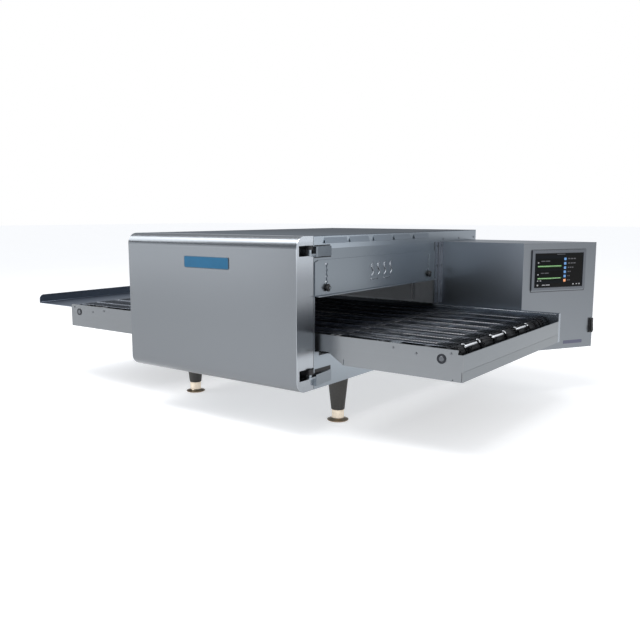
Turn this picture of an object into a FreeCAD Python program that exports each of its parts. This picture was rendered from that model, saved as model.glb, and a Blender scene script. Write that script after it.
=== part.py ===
import FreeCAD, Part
import Sketcher
import math
import os

# Conveyor pizza oven, countertop size: an insulated body with a swing-open front door, a wire
# belt conveyor that runs through it from left to right, height-adjustable air baffles over both
# tunnel mouths, pull-out crumb trays, four screw feet, and a control box with an angled face.
# Millimetres.  X runs along the conveyor, Y from the door to the back, Z up from the worktop.
# The row's origin is the centre of the footprint at worktop height; origin_x and origin_y move
# everything there from the centre of the oven body, about which the positions below are given.

doc = FreeCAD.newDocument("ConveyorOven")
sheet = doc.addObject("Spreadsheet::Sheet", "Dims")
_row = [2]
sheet.set("A1", "name")
sheet.set("B1", "value")
sheet.set("C1", "what it is")


def _num(value):
    text = "%.6f" % float(value)
    return "(" + text + ")" if float(value) < 0 else text


class Dim(object):
    """A length with its value and the expression that gives it in the document."""

    def __init__(self, value, text):
        self.v = float(value)
        self.t = text

    def __add__(self, other):
        other = dim(other)
        return Dim(self.v + other.v, "(%s + %s)" % (self.t, other.t))

    def __radd__(self, other):
        return dim(other) + self

    def __sub__(self, other):
        other = dim(other)
        return Dim(self.v - other.v, "(%s - %s)" % (self.t, other.t))

    def __rsub__(self, other):
        return dim(other) - self

    def __mul__(self, k):
        k = dim(k)
        return Dim(self.v * k.v, "(%s * %s)" % (self.t, k.t))

    def __rmul__(self, k):
        return dim(k) * self

    def __truediv__(self, k):
        k = dim(k)
        return Dim(self.v / k.v, "(%s / %s)" % (self.t, k.t))

    def __neg__(self):
        return Dim(-self.v, "(0 - %s)" % self.t)


def dim(x):
    return x if isinstance(x, Dim) else Dim(x, _num(x))


def cell(alias, value, note):
    r = _row[0]
    sheet.set("A%d" % r, alias)
    sheet.set("B%d" % r, "%.4f" % value)
    sheet.set("C%d" % r, note)
    sheet.setAlias("B%d" % r, alias)
    _row[0] = r + 1
    return Dim(value, "Dims." + alias)


# ---------------------------------------------------------------- driving dimensions
ox = cell("origin_x", 73.0862, "shift from the body centre to the footprint centre")
oy = cell("origin_y", -8.5, "shift from the body centre to the footprint centre")
bh = cell("body_half", 264.0, "half the width of the oven body")
yback = cell("back_y", 433.5, "outer face of the back panel")
ydoor = cell("door_front_y", -433.5, "front face of the door")
yseam = cell("door_back_y", -376.3, "back face of the door")
ybf = cell("body_front_y", -375.8, "front edge of the body panels")
zbot = cell("body_bottom", 102.0, "underside of the body")
ztop = cell("body_top", 432.0, "top of the body")
zflange = cell("cover_flange_bottom", 404.0, "lower edge of the top cover's flanges")
ts = cell("sheet_gauge", 1.5, "panel thickness")
bull = cell("door_bullnose", 26.0, "door front edge radius")
chh = cell("chamber_half", 230.0, "half the inner width of the chamber")
chz_low = cell("chamber_low", 129.5, "chamber floor")
chz_high = cell("chamber_high", 376.5, "chamber ceiling")
chy = cell("chamber_back", 204.5, "inner face of the chamber's back wall")
ringy = cell("ring_front_y", -372.7, "front face of the liner's flange")
tun_front = cell("tunnel_front", -371.0, "front edge of the tunnel mouth")
tun_back = cell("tunnel_back", 170.0, "back edge of the tunnel mouth")
tun_low = cell("tunnel_low", 184.0, "ledge that carries the conveyor rails")
tun_deep = cell("tunnel_deep", 174.0, "lower edge of the mouth under the belt")
tun_high = cell("tunnel_high", 312.0, "upper edge of the tunnel mouth")
rail_f = cell("front_rail_y", -360.6, "outer face of the front rail")
rail_r = cell("rear_rail_y", 197.2, "outer face of the rear rail")
rail_ri = cell("rear_rail_inner_y", 183.0, "inner face of the rear rail")
rail_low = cell("rail_bottom", 161.0, "underside of the rails outside the body")
rail_step = cell("rail_step", 185.5, "underside of the rails inside the body")
rail_top = cell("front_rail_top", 222.7, "top of the front rail")
rrail_top = cell("rear_rail_top", 233.6, "top of the rear rail")
rg = cell("rail_gauge", 2.0, "front rail thickness")
xr_end = cell("conveyor_right", 604.4, "right end of the conveyor frame")
xl_end = cell("conveyor_left", -617.7, "left end of the conveyor frame")
xdrive = cell("drive_shaft_x", 559.6, "drive shaft axis")
xidle = cell("idler_shaft_x", -581.2, "idler shaft axis")
xjack = cell("gearmotor_x", 440.0, "gearmotor output axis")
zshaft = cell("shaft_height", 202.7, "height of the conveyor shafts")
shaft_rad = cell("shaft_radius", 6.0, "radius of the shafts")
fit_run = cell("running_clearance", 0.05, "radial clearance of shafts in bushes")
belt_out = cell("belt_outer_radius", 23.0, "outer radius of the belt round its shafts")
belt_gauge = cell("belt_gauge", 1.6, "thickness of the belt band")
belt_front = cell("belt_front_y", -350.0, "front edge of the belt")
belt_rear = cell("belt_rear_y", 178.0, "rear edge of the belt")
sprock = cell("sprocket_radius", 21.0, "tip radius of the belt sprockets")
chain_r = cell("chain_sprocket_radius", 13.0, "tip radius of the chain sprockets")
tray_x = cell("landing_tray_x", -776.1, "outer end of the landing tray")
tray_z = cell("landing_tray_floor", 214.2, "underside of the landing tray floor")
tray_top = cell("landing_tray_top", 239.0, "top of the landing tray end wall")
cbx = cell("box_front_end_x", 501.7, "where the control box front meets its angled face")
cby = cell("box_front_y", 201.3, "front face of the control box")
cbx_far = cell("box_far_x", 623.8, "far corner of the angled face")
cby_far = cell("box_back_y", 405.4, "back face of the control box")
cbz = cell("box_bottom", 122.0, "underside of the control box")
cbz_top = cell("box_top", 404.0, "top of the control box")
baf_low = cell("baffle_bottom", 304.0, "lower edge of the baffle plate, raised")
baf_top = cell("baffle_top", 380.5, "upper edge of the baffle plate, raised")
baf_front = cell("baffle_front_y", -372.4, "front edge of the baffle")
stud_z = cell("stud_height", 320.0, "height of the baffle studs")
stud_a = cell("stud_front_y", -331.0, "front stud")
stud_b = cell("stud_rear_y", 134.0, "rear stud")
stud_rad = cell("stud_radius", 2.0, "radius of the baffle studs")
travel = cell("baffle_travel", 50.8, "travel of the baffle")
pin_x = cell("hinge_pin_x", 265.5, "door hinge pin axis")
pin_y = cell("hinge_pin_y", -390.0, "door hinge pin axis")
pin_rad = cell("hinge_pin_radius", 4.0, "door hinge pin radius")
leg_x = cell("leg_x", 237.0, "legs, left and right of the centre")
leg_fy = cell("leg_front_y", -245.0, "front legs")
leg_ry = cell("leg_rear_y", 300.0, "rear legs")
leg_top_rad = cell("leg_top_radius", 24.0, "top of the leg sleeve")
leg_low_rad = cell("leg_low_radius", 15.8, "bottom of the leg sleeve")
leg_low = cell("leg_low", 27.3, "bottom edge of the leg sleeve")
foot_rad = cell("foot_radius", 25.0, "foot flange radius")
collar_rad = cell("collar_radius", 14.5, "foot collar radius")
fan_x = cell("blower_offset", 125.0, "blowers, left and right of the centre")
fan_z = cell("blower_height", 270.0, "height of the blower axes")
wheel_rad = cell("blower_radius", 80.0, "blower wheel radius")
slope = cell("box_slope", 0.598236, "X gained per millimetre of Y along the angled face")


# ---------------------------------------------------------------- helpers
def bind(obj, prop, d):
    obj.setExpression(prop, dim(d).t)


def shift(obj):
    """Move a feature made about the body centre to the row's origin."""
    bind(obj, "Placement.Base.x", ox)
    bind(obj, "Placement.Base.y", oy)


def box(x0, x1, y0, y1, z0, z1, name="Box"):
    o = doc.addObject("Part::Box", name)
    x0, x1, y0, y1, z0, z1 = [dim(q) for q in (x0, x1, y0, y1, z0, z1)]
    bind(o, "Length", x1 - x0)
    bind(o, "Width", y1 - y0)
    bind(o, "Height", z1 - z0)
    bind(o, "Placement.Base.x", x0 + ox)
    bind(o, "Placement.Base.y", y0 + oy)
    bind(o, "Placement.Base.z", z0)
    return o


ROT = {
    "x": FreeCAD.Rotation(FreeCAD.Vector(0, 1, 0), 90),
    "y": FreeCAD.Rotation(FreeCAD.Vector(1, 0, 0), -90),
    "z": FreeCAD.Rotation(),
}


def _seat(o, axis, u, v, a0):
    o.Placement = FreeCAD.Placement(FreeCAD.Vector(), ROT[axis])
    x, y, z = {"x": (a0, u, v), "y": (u, a0, v), "z": (u, v, a0)}[axis]
    bind(o, "Placement.Base.x", dim(x) + ox)
    bind(o, "Placement.Base.y", dim(y) + oy)
    bind(o, "Placement.Base.z", z)
    return o


def cyl(axis, u, v, r, a0, a1, name="Cyl"):
    """Cylinder along axis from a0 to a1; u and v are its other two coordinates."""
    o = doc.addObject("Part::Cylinder", name)
    bind(o, "Radius", r)
    bind(o, "Height", dim(a1) - a0)
    return _seat(o, axis, u, v, a0)


def cone(u, v, r0, r1, a0, a1, name="Cone"):
    o = doc.addObject("Part::Cone", name)
    bind(o, "Radius1", r0)
    bind(o, "Radius2", r1)
    bind(o, "Height", dim(a1) - a0)
    return _seat(o, "z", u, v, a0)


def prism6(axis, u, v, r, sides, a0, a1, name="Prism"):
    o = doc.addObject("Part::Prism", name)
    o.Polygon = sides
    bind(o, "Circumradius", r)
    bind(o, "Height", dim(a1) - a0)
    return _seat(o, axis, u, v, a0)


def _sketch(body, plane, name):
    role = {"xy": "XY_Plane", "xz": "XZ_Plane", "yz": "YZ_Plane"}[plane]
    sk = body.newObject("Sketcher::SketchObject", name)
    face = [f for f in body.Origin.OriginFeatures if f.Role == role][0]
    sk.AttachmentSupport = [(face, "")]
    sk.MapMode = "FlatFace"
    return sk


def _polygon(sk, pts):
    """Closed outline whose every corner is dimensioned from the sketch origin."""
    n = len(pts)
    first = sk.GeometryCount
    P = [FreeCAD.Vector(dim(a).v, dim(b).v, 0) for a, b in pts]
    for i in range(n):
        sk.addGeometry(Part.LineSegment(P[i], P[(i + 1) % n]), False)
    for i in range(n):
        sk.addConstraint(Sketcher.Constraint("Coincident", first + i, 2, first + (i + 1) % n, 1))
    for i in range(n):
        for kind, q in (("DistanceX", pts[i][0]), ("DistanceY", pts[i][1])):
            k = sk.addConstraint(Sketcher.Constraint(kind, -1, 1, first + i, 1, dim(q).v))
            if isinstance(q, Dim):
                sk.setExpression("Constraints[%d]" % k, q.t)


def prism(plane, pts, a0, a1, name="Profile"):
    """Pad of a dimensioned outline, from a0 to a1 along the plane's axis."""
    body = doc.addObject("PartDesign::Body", name)
    sk = _sketch(body, plane, name + "Sketch")
    _polygon(sk, pts)
    a0, a1 = dim(a0), dim(a1)
    bind(sk, "AttachmentOffset.Base.z", -a1 if plane == "xz" else a0)
    pad = body.newObject("PartDesign::Pad", name + "Pad")
    pad.Profile = sk
    bind(pad, "Length", a1 - a0)
    shift(body)
    return body


def revolve(pts, x, y, name="Turned"):
    """Solid turned about a vertical axis at x, y from a half outline in radius and height."""
    body = doc.addObject("PartDesign::Body", name)
    sk = _sketch(body, "xz", name + "Sketch")
    _polygon(sk, pts)
    rev = body.newObject("PartDesign::Revolution", name + "Turn")
    rev.Profile = sk
    rev.ReferenceAxis = (sk, ["V_Axis"])
    rev.Angle = 360
    bind(body, "Placement.Base.x", dim(x) + ox)
    bind(body, "Placement.Base.y", dim(y) + oy)
    return body


def fuse(parts, name="Fuse"):
    if len(parts) == 1:
        return parts[0]
    o = doc.addObject("Part::MultiFuse", name)
    o.Shapes = parts
    return o


def group(parts, name="Group"):
    o = doc.addObject("Part::Compound", name)
    o.Links = parts
    return o


def cut(base, tools, name="Cut", apart=False):
    if not isinstance(tools, (list, tuple)):
        tools = [tools]
    tool = tools[0] if len(tools) == 1 else (group(tools) if apart else fuse(tools))
    o = doc.addObject("Part::Cut", name)
    o.Base = base
    o.Tool = tool
    return o


def fillet(base, want, radius, name="Fillet"):
    doc.recompute()
    o = doc.addObject("Part::Fillet", name)
    o.Base = base
    r = dim(radius).v
    picks = [(i + 1, r, r) for i, e in enumerate(base.Shape.Edges) if want(e)]
    if not picks:
        raise RuntimeError("no edge to round on " + name)
    o.Edges = picks
    return o


def along(e, axis):
    """True where a straight edge runs along the axis."""
    if len(e.Vertexes) != 2 or e.Curve.TypeId != "Part::GeomLine":
        return False
    d = e.Vertexes[1].Point.sub(e.Vertexes[0].Point)
    d = (abs(d.x), abs(d.y), abs(d.z))
    k = "xyz".index(axis)
    return d[k] > 1e-6 and sum(d) - d[k] < 1e-6


def mid(e):
    p = e.CenterOfMass
    return (p.x - ox.v, p.y - oy.v, p.z)


nodes = []


def node(obj, label):
    obj.Label = label
    nodes.append((label, obj))
    return obj


# ---------------------------------------------------------------- body panels
# Floor pan: a tray with turned-up flanges and a hole for each leg's screw.
pan_x = bh - ts
pan = cut(
    box(-pan_x, pan_x, ybf, yback - ts, zbot, zbot + 22, "PanBlank"),
    [
        box(ts - pan_x, pan_x - ts, ybf + ts, yback - ts - ts, zbot + ts, zbot + 30, "PanInside"),
        box(ts - pan_x, pan_x - ts, ybf - 5, ybf + 5, zbot + 8, zbot + 30, "PanFrontLow"),
    ],
    "PanShell",
)
leg_spots = [(leg_x, leg_fy), (-leg_x, leg_fy), (leg_x, leg_ry), (-leg_x, leg_ry)]
node(
    cut(pan, [cyl("z", x, y, 5.2, zbot - 5, zbot + 10, "LegHole") for x, y in leg_spots], "BasePan", True),
    "base_pan",
)


# Side panels: tunnel mouth with a deeper middle, an upper lip behind the cover's flange, and two
# weld studs for the baffle.
def side_panel(s, label):
    def xs(a, b):
        return (a, b) if s > 0 else (-b, -a)

    x0, x1 = xs(bh - ts, bh)
    plate = box(x0, x1, ybf, yback, zbot, zflange, "SidePlate")
    l0, l1 = xs(bh - 2 * ts, bh - ts)
    lip = box(l0, l1, ybf + 6, yback - 6, zflange - 14, zflange + 8, "SideLip")
    m0, m1 = xs(bh - 10, bh + 10)
    mouth = [
        box(m0, m1, tun_front, tun_back, tun_low, tun_high, "Mouth"),
        box(m0, m1, rail_f + 4, rail_ri - 2, tun_deep, tun_low + 5, "MouthDeep"),
        box(m0, m1, tun_back - 5, rail_r + 3.3, tun_low, rrail_top + 2.4, "MouthRear"),
    ]
    if s > 0:
        mouth.append(box(m0, m1, 225, 345, 140, 230, "WirePass"))
    shell = cut(fuse([plate, lip]), mouth, "SideOpen")
    s0, s1 = xs(bh - ts, bh + 11.5)
    studs = [cyl("x", y, stud_z, stud_rad, s0, s1, "WeldStud") for y in (stud_a, stud_b)]
    node(fuse([shell] + studs, "SidePanel"), label)


side_panel(1, "side_panel_right")
side_panel(-1, "side_panel_left")

# Top cover: a lid with flanges down all four sides, and five louvres over each tunnel mouth.
louvre_y = [(-337, -252), (-241, -162), (-140, -58), (-47, 33), (54, 132)]
lid = cut(
    box(-bh, bh, ybf, yback, zflange, ztop, "LidBlank"),
    box(ts - bh, bh - ts, ybf + ts, yback - ts, zflange - 5, ztop - ts, "LidInside"),
    "LidShell",
)
lid = fillet(
    lid,
    lambda e: along(e, "y") and abs(mid(e)[2] - ztop.v) < 0.01 and abs(abs(mid(e)[0]) - bh.v) < 0.01,
    1.2,
    "LidRound",
)
slots, hoods = [], []
for s in (1, -1):
    for a, b in louvre_y:
        slots.append(box(s * 264 - 5, s * 264 + 5, a + 2, b - 2, 416, 424, "LouvreSlot"))
        hoods.append(
            prism(
                "xz",
                [
                    (s * bh, dim(428.0)),
                    (s * (bh + 4.6), dim(415.5)),
                    (s * (bh + 3.4), dim(415.2)),
                    (s * (bh - 1.2), dim(427.2)),
                ],
                a,
                b,
                "LouvreHood",
            )
        )
node(fuse([cut(lid, slots, "LidSlots", True)] + hoods, "TopCover"), "top_cover")

# Back panel with two fields of vent slots and the hole for the cord gland.
vents = [
    box(cx - 32, cx + 32, 420, 440, 210 + 14 * i, 214.5 + 14 * i, "BackVent")
    for cx in (-125, 125)
    for i in range(9)
]
vents.append(cyl("y", -205, 150, 11.2, 420, 440, "GlandHole"))
node(
    cut(
        box(-pan_x, pan_x, yback - ts, yback, zbot + ts, zflange, "BackBlank"),
        vents,
        "BackPanel",
        True,
    ),
    "back_panel",
)

# ---------------------------------------------------------------- cooking chamber
# Liner: open at the front, where a flange meets the door gasket; the conveyor passes through its
# sides; the back wall has the return-air window and two duct mouths.
lin = cut(
    fuse(
        [
            box(-chh - ts, chh + ts, ringy, chy + ts, chz_low - ts, chz_high + ts, "LinerBlank"),
            box(-pan_x, pan_x, ringy, ringy + ts, zbot + ts + 0.5, zflange, "LinerFlange"),
        ]
    ),
    [
        box(-chh, chh, ringy - 5, chy, chz_low, chz_high, "LinerInside"),
        box(-chh - 10, chh + 10, tun_front + 1.3, rail_r + 3.3, tun_deep - 2, tun_high, "LinerMouth"),
        box(-180, 180, chy - 5, chy + 5, 240, 306, "ReturnWindow"),
        box(-168, -82, chy - 5, chy + 5, 136, 168, "LowerDuctMouth"),
        box(82, 168, chy - 5, chy + 5, 332, 370, "UpperDuctMouth"),
        box(pan_x - ts - 0.2, pan_x + 1, ringy - 2, ringy + 4, zbot, zbot + 22.4, "FlangeNotchR"),
        box(-1 - pan_x, ts + 0.2 - pan_x, ringy - 2, ringy + 4, zbot, zbot + 22.4, "FlangeNotchL"),
    ],
    "LinerOpen",
)
# A collar on each side closes the insulation round the tunnel mouth.
collars = []
for s in (1, -1):
    a, b = (chh + ts - 0.5, pan_x - 0.3) if s > 0 else (0.3 - pan_x, 0.5 - ts - chh)
    collars.append(
        cut(
            box(a, b, tun_front + 0.4, rail_r + 4.2, tun_deep - 2.9, tun_high + 0.9, "Collar"),
            box(
                a - 5,
                b + 5,
                tun_front + 1.3,
                rail_r + 3.3,
                tun_deep - 2,
                tun_high,
                "CollarOpen",
            ),
            "MouthCollar",
        )
    )
node(fuse([lin] + collars, "LinerAll"), "chamber_liner")

# Insulation slabs round the chamber and between the hot and the motor compartments.
ix = pan_x - 0.4
ins = [
    box(2 - ix, ix - 2, ringy + ts, 204, chz_high + ts, zflange - 0.5, "SlabTop"),
    box(2 - ix, ix - 2, ringy + ts, 204, zbot + ts, chz_low - ts, "SlabBottom"),
]
for s in (1, -1):
    a, b = (chh + ts, ix) if s > 0 else (-ix, -chh - ts)
    c, d = (chh + ts, ix - 2) if s > 0 else (2 - ix, -chh - ts)
    ins.append(box(c, d, ringy + ts, 204, chz_low - ts + 0.2, tun_deep - 3, "SlabSideLow"))
    ins.append(box(c, d, ringy + ts, 204, tun_high + 1, chz_high + ts - 0.2, "SlabSideHigh"))
ins.append(
    cut(
        box(2 - ix, ix - 2, 296, 316, zbot + 2, zflange - 0.5, "SlabRear"),
        [cyl("y", s * 1 * fan_x, fan_z, 14, 290, 320, "ShaftPass") for s in (1, -1)],
        "SlabRearCut",
        True,
    )
)
node(group(ins, "Insulation"), "insulation_blanket")


# Jet plates: perforated plates that turn the air into jets on the food, above and below the belt.
def jetplate(z0, z1, lipz0, lipz1, name):
    holes = []
    for i in range(11):
        for j in range(9):
            holes.append(
                cyl(
                    "z",
                    -200 + 40 * i + (0 if j % 2 else 0),
                    -320 + 60 * j,
                    6.5,
                    z0 - 5,
                    z0 + 5,
                    name + "Hole",
                )
            )
    plate = cut(box(-226, 226, -364, 196, z0, z1, name + "Blank"), holes, name + "Holed", True)
    rims = [box(-226, 226, a, b, lipz0, lipz1, name + "Rim") for a, b in ((-364, -362.5), (194.5, 196))]
    return fuse([plate] + rims, name)


node(
    group([jetplate(316, 317.5, 316, 326, "JetUpper"), jetplate(170, 171.5, 161, 171.5, "JetLower")], "Jets"),
    "jet_plates",
)


# Plenums: shallow boxes that feed the jet plates from the ducts in the back wall.
def plenum(z0, z1, opening_up, name):
    a, b = (z0 + 1.2, z1 + 5) if opening_up else (z0 - 5, z1 - 1.2)
    shell = cut(
        box(-226, 226, -360, 204.3, z0, z1, name + "Blank"),
        box(-224.8, 224.8, -358.8, 210, a, b, name + "Inside"),
        name + "Shell",
    )
    return shell


node(
    group([plenum(dim(130), dim(160.8), True, "PlenumLow"), plenum(dim(326.2), dim(376), False, "PlenumHigh")]),
    "air_plenums",
)

# Catalyst in the return-air window: a fine honeycomb block, solid here, in a thin frame.
node(
    fuse(
        [
            box(-178, 178, 198.6, 204.4, 242, 304, "CatBlock"),
            cut(
                box(-182, 182, 197.2, 204.4, 238, 308, "CatFrame"),
                box(-178, 178, 190, 210, 242, 304, "CatInside"),
                "CatRing",
            ),
        ],
        "Catalyst",
    ),
    "catalyst_block",
)

# Heater: a serpentine tube across the return window with two terminals to the rear.
rods = [cyl("x", 215, 232 + 20 * i, 3.6, -238, 238, "HeatRod") for i in range(5)]
bends = [
    cyl("z", (238 if i % 2 == 0 else -238), 215, 3.6, 232 + 20 * i, 252 + 20 * i, "HeatBend") for i in range(4)
]
knees = [
    _seat(doc.addObject("Part::Sphere", "HeatKnee"), "z", sx * 238, 215, 232 + 20 * i)
    for i in range(5)
    for sx in (1, -1)
]
for k in knees:
    k.Radius = 3.6
terms = [cyl("y", -238, 232, 3.6, 215, 295.5, "HeatTerm"), cyl("y", 238, 312, 3.6, 215, 295.5, "HeatTerm")]
node(fuse(rods + bends + knees + terms, "Heater"), "heater_element")

# ---------------------------------------------------------------- blowers
wy0, wy1 = 232.0, 276.0
housings, motors = [], []
for s, z0, z1, dz0, dz1, tag in ((-1, 132, 366, 134, 170, "L"), (1, 174, 374, 330, 372, "R")):
    c = s * fan_x
    blank = [
        box(c - 97, c + 97, 226, 282, z0, z1, "Scroll" + tag),
        box(c - 45, c + 45, chy + ts, 227, dz0, dz1, "Duct" + tag),
    ]
    inside = [
        box(c - 95.5, c + 95.5, 227.5, 280.5, z0 + 1.5, z1 - 1.5, "ScrollIn" + tag),
        box(c - 43.5, c + 43.5, chy - 2, 229, dz0 + 1.5, dz1 - 1.5, "DuctIn" + tag),
        cyl("y", c, fan_z, 56, 224, 229, "Inlet" + tag),
        cyl("y", c, fan_z, 12, 279, 284, "ShaftHole" + tag),
    ]
    housings.append(cut(fuse(blank), inside, "Blower" + tag))
    motors.append(
        cut(
            fuse(
                [
                    cyl("y", c, fan_z, 50, 336, 424, "Motor" + tag),
                    box(c - 34, c + 34, 346, 414, zbot + ts, 232, "Pedestal" + tag),
                    cyl("y", c, fan_z, 24, 328, 337, "Nose" + tag),
                ]
            ),
            cyl("y", c, fan_z, shaft_rad + fit_run, 320, 366, "MotorBore" + tag),
            "MotorCut" + tag,
        )
    )
    blades = []
    for i in range(16):
        a = 2 * math.pi * i / 16.0
        bl = doc.addObject("Part::Box", "Blade")
        bl.Length, bl.Width, bl.Height = 18.0, 40.5, 2.0
        rot = FreeCAD.Rotation(FreeCAD.Vector(0, 1, 0), -math.degrees(a)).multiply(
            FreeCAD.Rotation(FreeCAD.Vector(0, 1, 0), -12)
        )
        px, pz = 60.5 * math.cos(a), 60.5 * math.sin(a)
        bl.Placement = FreeCAD.Placement(FreeCAD.Vector(), rot)
        bind(bl, "Placement.Base.x", c + ox + px)
        bind(bl, "Placement.Base.y", dim(wy0) + 1 + oy)
        bind(bl, "Placement.Base.z", fan_z + pz)
        blades.append(bl)
    wheel = fuse(
        [
            cyl("y", c, fan_z, wheel_rad, wy1 - 3, wy1, "WheelPlate"),
            cut(
                cyl("y", c, fan_z, wheel_rad, wy0, wy0 + 2, "WheelRing"),
                cyl("y", c, fan_z, 60, wy0 - 1, wy0 + 3, "WheelRingIn"),
            ),
            cyl("y", c, fan_z, 15, wy1 - 20, wy1, "WheelHub"),
            cyl("y", c, fan_z, shaft_rad, wy1 - 22, 362, "WheelShaft"),
        ]
        + blades,
        "BlowerWheel" + tag,
    )
    node(wheel, "blower_wheel_left" if s < 0 else "blower_wheel_right")
node(group(housings, "Housings"), "blower_housings")
node(group(motors, "Motors"), "blower_motors")

# ---------------------------------------------------------------- legs and feet
sleeves = [
    cut(
        cone(x, y, leg_low_rad, leg_top_rad, leg_low, zbot, "Sleeve"),
        cyl("z", x, y, shaft_rad + fit_run, leg_low - 5, 92, "SleeveBore"),
        "SleeveCut",
    )
    for x, y in leg_spots
]
node(group(sleeves, "Sleeves"), "leg_sleeves")
foot_names = ["foot_front_right", "foot_front_left", "foot_rear_right", "foot_rear_left"]
for (x, y), label in zip(leg_spots, foot_names):
    foot = revolve(
        [
            (dim(0.0), dim(0.0)),
            (foot_rad - 1.5, dim(0.0)),
            (foot_rad, dim(1.2)),
            (foot_rad, dim(2.6)),
            (foot_rad - 4.5, dim(4.2)),
            (collar_rad + 2, dim(6.0)),
            (collar_rad, dim(7.6)),
            (collar_rad, leg_low - 1.3),
            (collar_rad - 1, leg_low - 0.3),
            (shaft_rad, leg_low - 0.3),
            (shaft_rad, dim(78.0)),
            (dim(0.0), dim(78.0)),
        ],
        x,
        y,
        "Foot",
    )
    node(foot, label)

# ---------------------------------------------------------------- conveyor frame
step_in, step_out = 292.0, 331.0


def rail_outline(inset):
    """Side outline of a rail: shallow where it crosses the body, deep outside it."""
    return [
        (xl_end, rail_low),
        (dim(-step_out), rail_low),
        (dim(-step_in), rail_step),
        (dim(step_in), rail_step),
        (dim(step_out), rail_low),
        (xr_end, rail_low),
        (xr_end, dim(214.0)),
        (xr_end - 10.5, dim(214.0)),
        (xr_end - 10.5, inset),
        (xl_end + 4, inset),
        (xl_end, inset - 4),
    ]


web = prism("xz", rail_outline(rail_top), rail_f, rail_f + rg, "FrontWeb")
flanges = [
    box(step_out + 4, xr_end - 2.5, rail_f + rg, rail_f + 16, rail_low, rail_low + 1.5, "FootR"),
    box(xl_end + 2.5, -step_out - 4, rail_f + rg, rail_f + 16, rail_low, rail_low + 1.5, "FootL"),
    box(-step_in + 4, step_in - 4, rail_f + rg, rail_f + 10, rail_step, rail_step + 1.5, "FootM"),
]
rail_cuts = [
    cyl("y", xdrive, zshaft, 9.7, rail_f - 3, rail_f + 5, "DriveHole"),
    cyl("y", xidle, zshaft, 9.7, rail_f - 3, rail_f + 5, "IdleHole"),
    box(step_out, step_out + 2.4, rail_f - 3, rail_f + 2.5, rail_low - 1, 174, "HookSlit"),
    box(-step_out - 2.4, -step_out, rail_f - 3, rail_f + 2.5, rail_low - 1, 174, "HookSlitL"),
    box(583, 585, rail_f - 3, rail_f + 2.5, rail_low - 1, rail_low + 4, "CornerNick"),
]
node(cut(fuse([web] + flanges), rail_cuts, "FrontRail"), "conveyor_rail_front")

rear = prism(
    "xz",
    [
        (xl_end, rail_low),
        (dim(-step_out), rail_low),
        (dim(-step_in), rail_step),
        (dim(step_in), rail_step),
        (dim(step_out), rail_low),
        (xr_end, rail_low),
        (xr_end, rrail_top),
        (xl_end, rrail_top),
    ],
    rail_ri,
    rail_r,
    "RearBlank",
)
rear_cuts = [
    box(xl_end + ts, xr_end - ts, rail_ri + ts, rail_r - ts, rail_low - 5, rrail_top - ts, "ChainSpace"),
    cyl("y", xdrive, zshaft, 9.7, rail_ri - 3, rail_ri + 5, "DriveHoleR"),
    cyl("y", xidle, zshaft, 9.7, rail_ri - 3, rail_ri + 5, "IdleHoleR"),
    cyl("y", xjack, zshaft, 11, rail_r - 5, rail_r + 3, "JackHole"),
]
rear_feet = [
    box(step_out + 4, xr_end - 2.5, rail_ri - 12, rail_ri, rail_low, rail_low + 1.5, "FootRR"),
    box(xl_end + 2.5, -step_out - 4, rail_ri - 12, rail_ri, rail_low, rail_low + 1.5, "FootRL"),
]
node(fuse([cut(rear, rear_cuts, "RearRailShell")] + rear_feet, "RearRail"), "conveyor_rail_rear")

node(
    group(
        [
            box(xr_end - 2, xr_end, rail_f + rg, rail_ri, 181.5, 214, "EndRight"),
            box(xl_end, xl_end + 2, rail_f + rg, rail_ri, 181.5, 214, "EndLeft"),
        ],
        "EndPlates",
    ),
    "conveyor_end_plates",
)


# Belt: a closed loop round the drive and idler shafts.
def loop(xa, xb, zc, r_out, gauge, y0, y1, name):
    def slab(r, ya, yb, tag):
        return fuse(
            [
                box(xa, xb, ya, yb, zc - r, zc + r, name + "Run" + tag),
                cyl("y", xa, zc, r, ya, yb, name + "TurnA" + tag),
                cyl("y", xb, zc, r, ya, yb, name + "TurnB" + tag),
            ],
            name + "Slab" + tag,
        )

    return cut(
        slab(r_out, y0, y1, "Out"), slab(r_out - gauge, dim(y0) - 5, dim(y1) + 5, "In"), name
    )


node(loop(xidle, xdrive, zshaft, belt_out, belt_gauge, belt_front, belt_rear, "Belt"), "conveyor_belt")

# Belt supports: long rods just under the upper run, carried on cross bars between the rails,
# with slanting rods that spread the wear of the belt.
rack = []
rod_y = [-299.0, -235.5, -172.0, -108.5, -45.0, 18.5, 82.0, 145.5]
for y in rod_y:
    rack.append(cyl("x", y, 218.9, 2.4, -540, 520, "LongRod"))
for x in (-525, -400, -270, -90, 90, 270, 400, 505):
    rack.append(cyl("y", x, 213.0, 4.0, rail_f + rg, rail_ri, "CrossBar"))


def slant(x0, y0, x1, y1, r=2.0, z=218.9):
    length = math.hypot(x1 - x0, y1 - y0)
    o = doc.addObject("Part::Cylinder", "SlantRod")
    o.Radius = r
    o.Height = length
    o.Placement = FreeCAD.Placement(
        FreeCAD.Vector(), FreeCAD.Rotation(FreeCAD.Vector(0, 0, 1), FreeCAD.Vector(x1 - x0, y1 - y0, 0))
    )
    bind(o, "Placement.Base.x", dim(x0) + ox)
    bind(o, "Placement.Base.y", dim(y0) + oy)
    bind(o, "Placement.Base.z", z)
    return o


for x0, y0, x1, y1 in ((344, -270, 428, -358), (352, -182, 478, -323), (344, -26, 470, -177), (344, 96, 470, -55)):
    rack.append(slant(x0, y0, x1, y1))
for k in range(-3, 3):
    x = 130.0 * k
    for y0, y1 in ((-340, -172), (-172, -4), (-4, 164)):
        rack.append(slant(x - 75, y1, x + 75, y0))
node(fuse(rack, "Rack"), "belt_support_rack")

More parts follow.
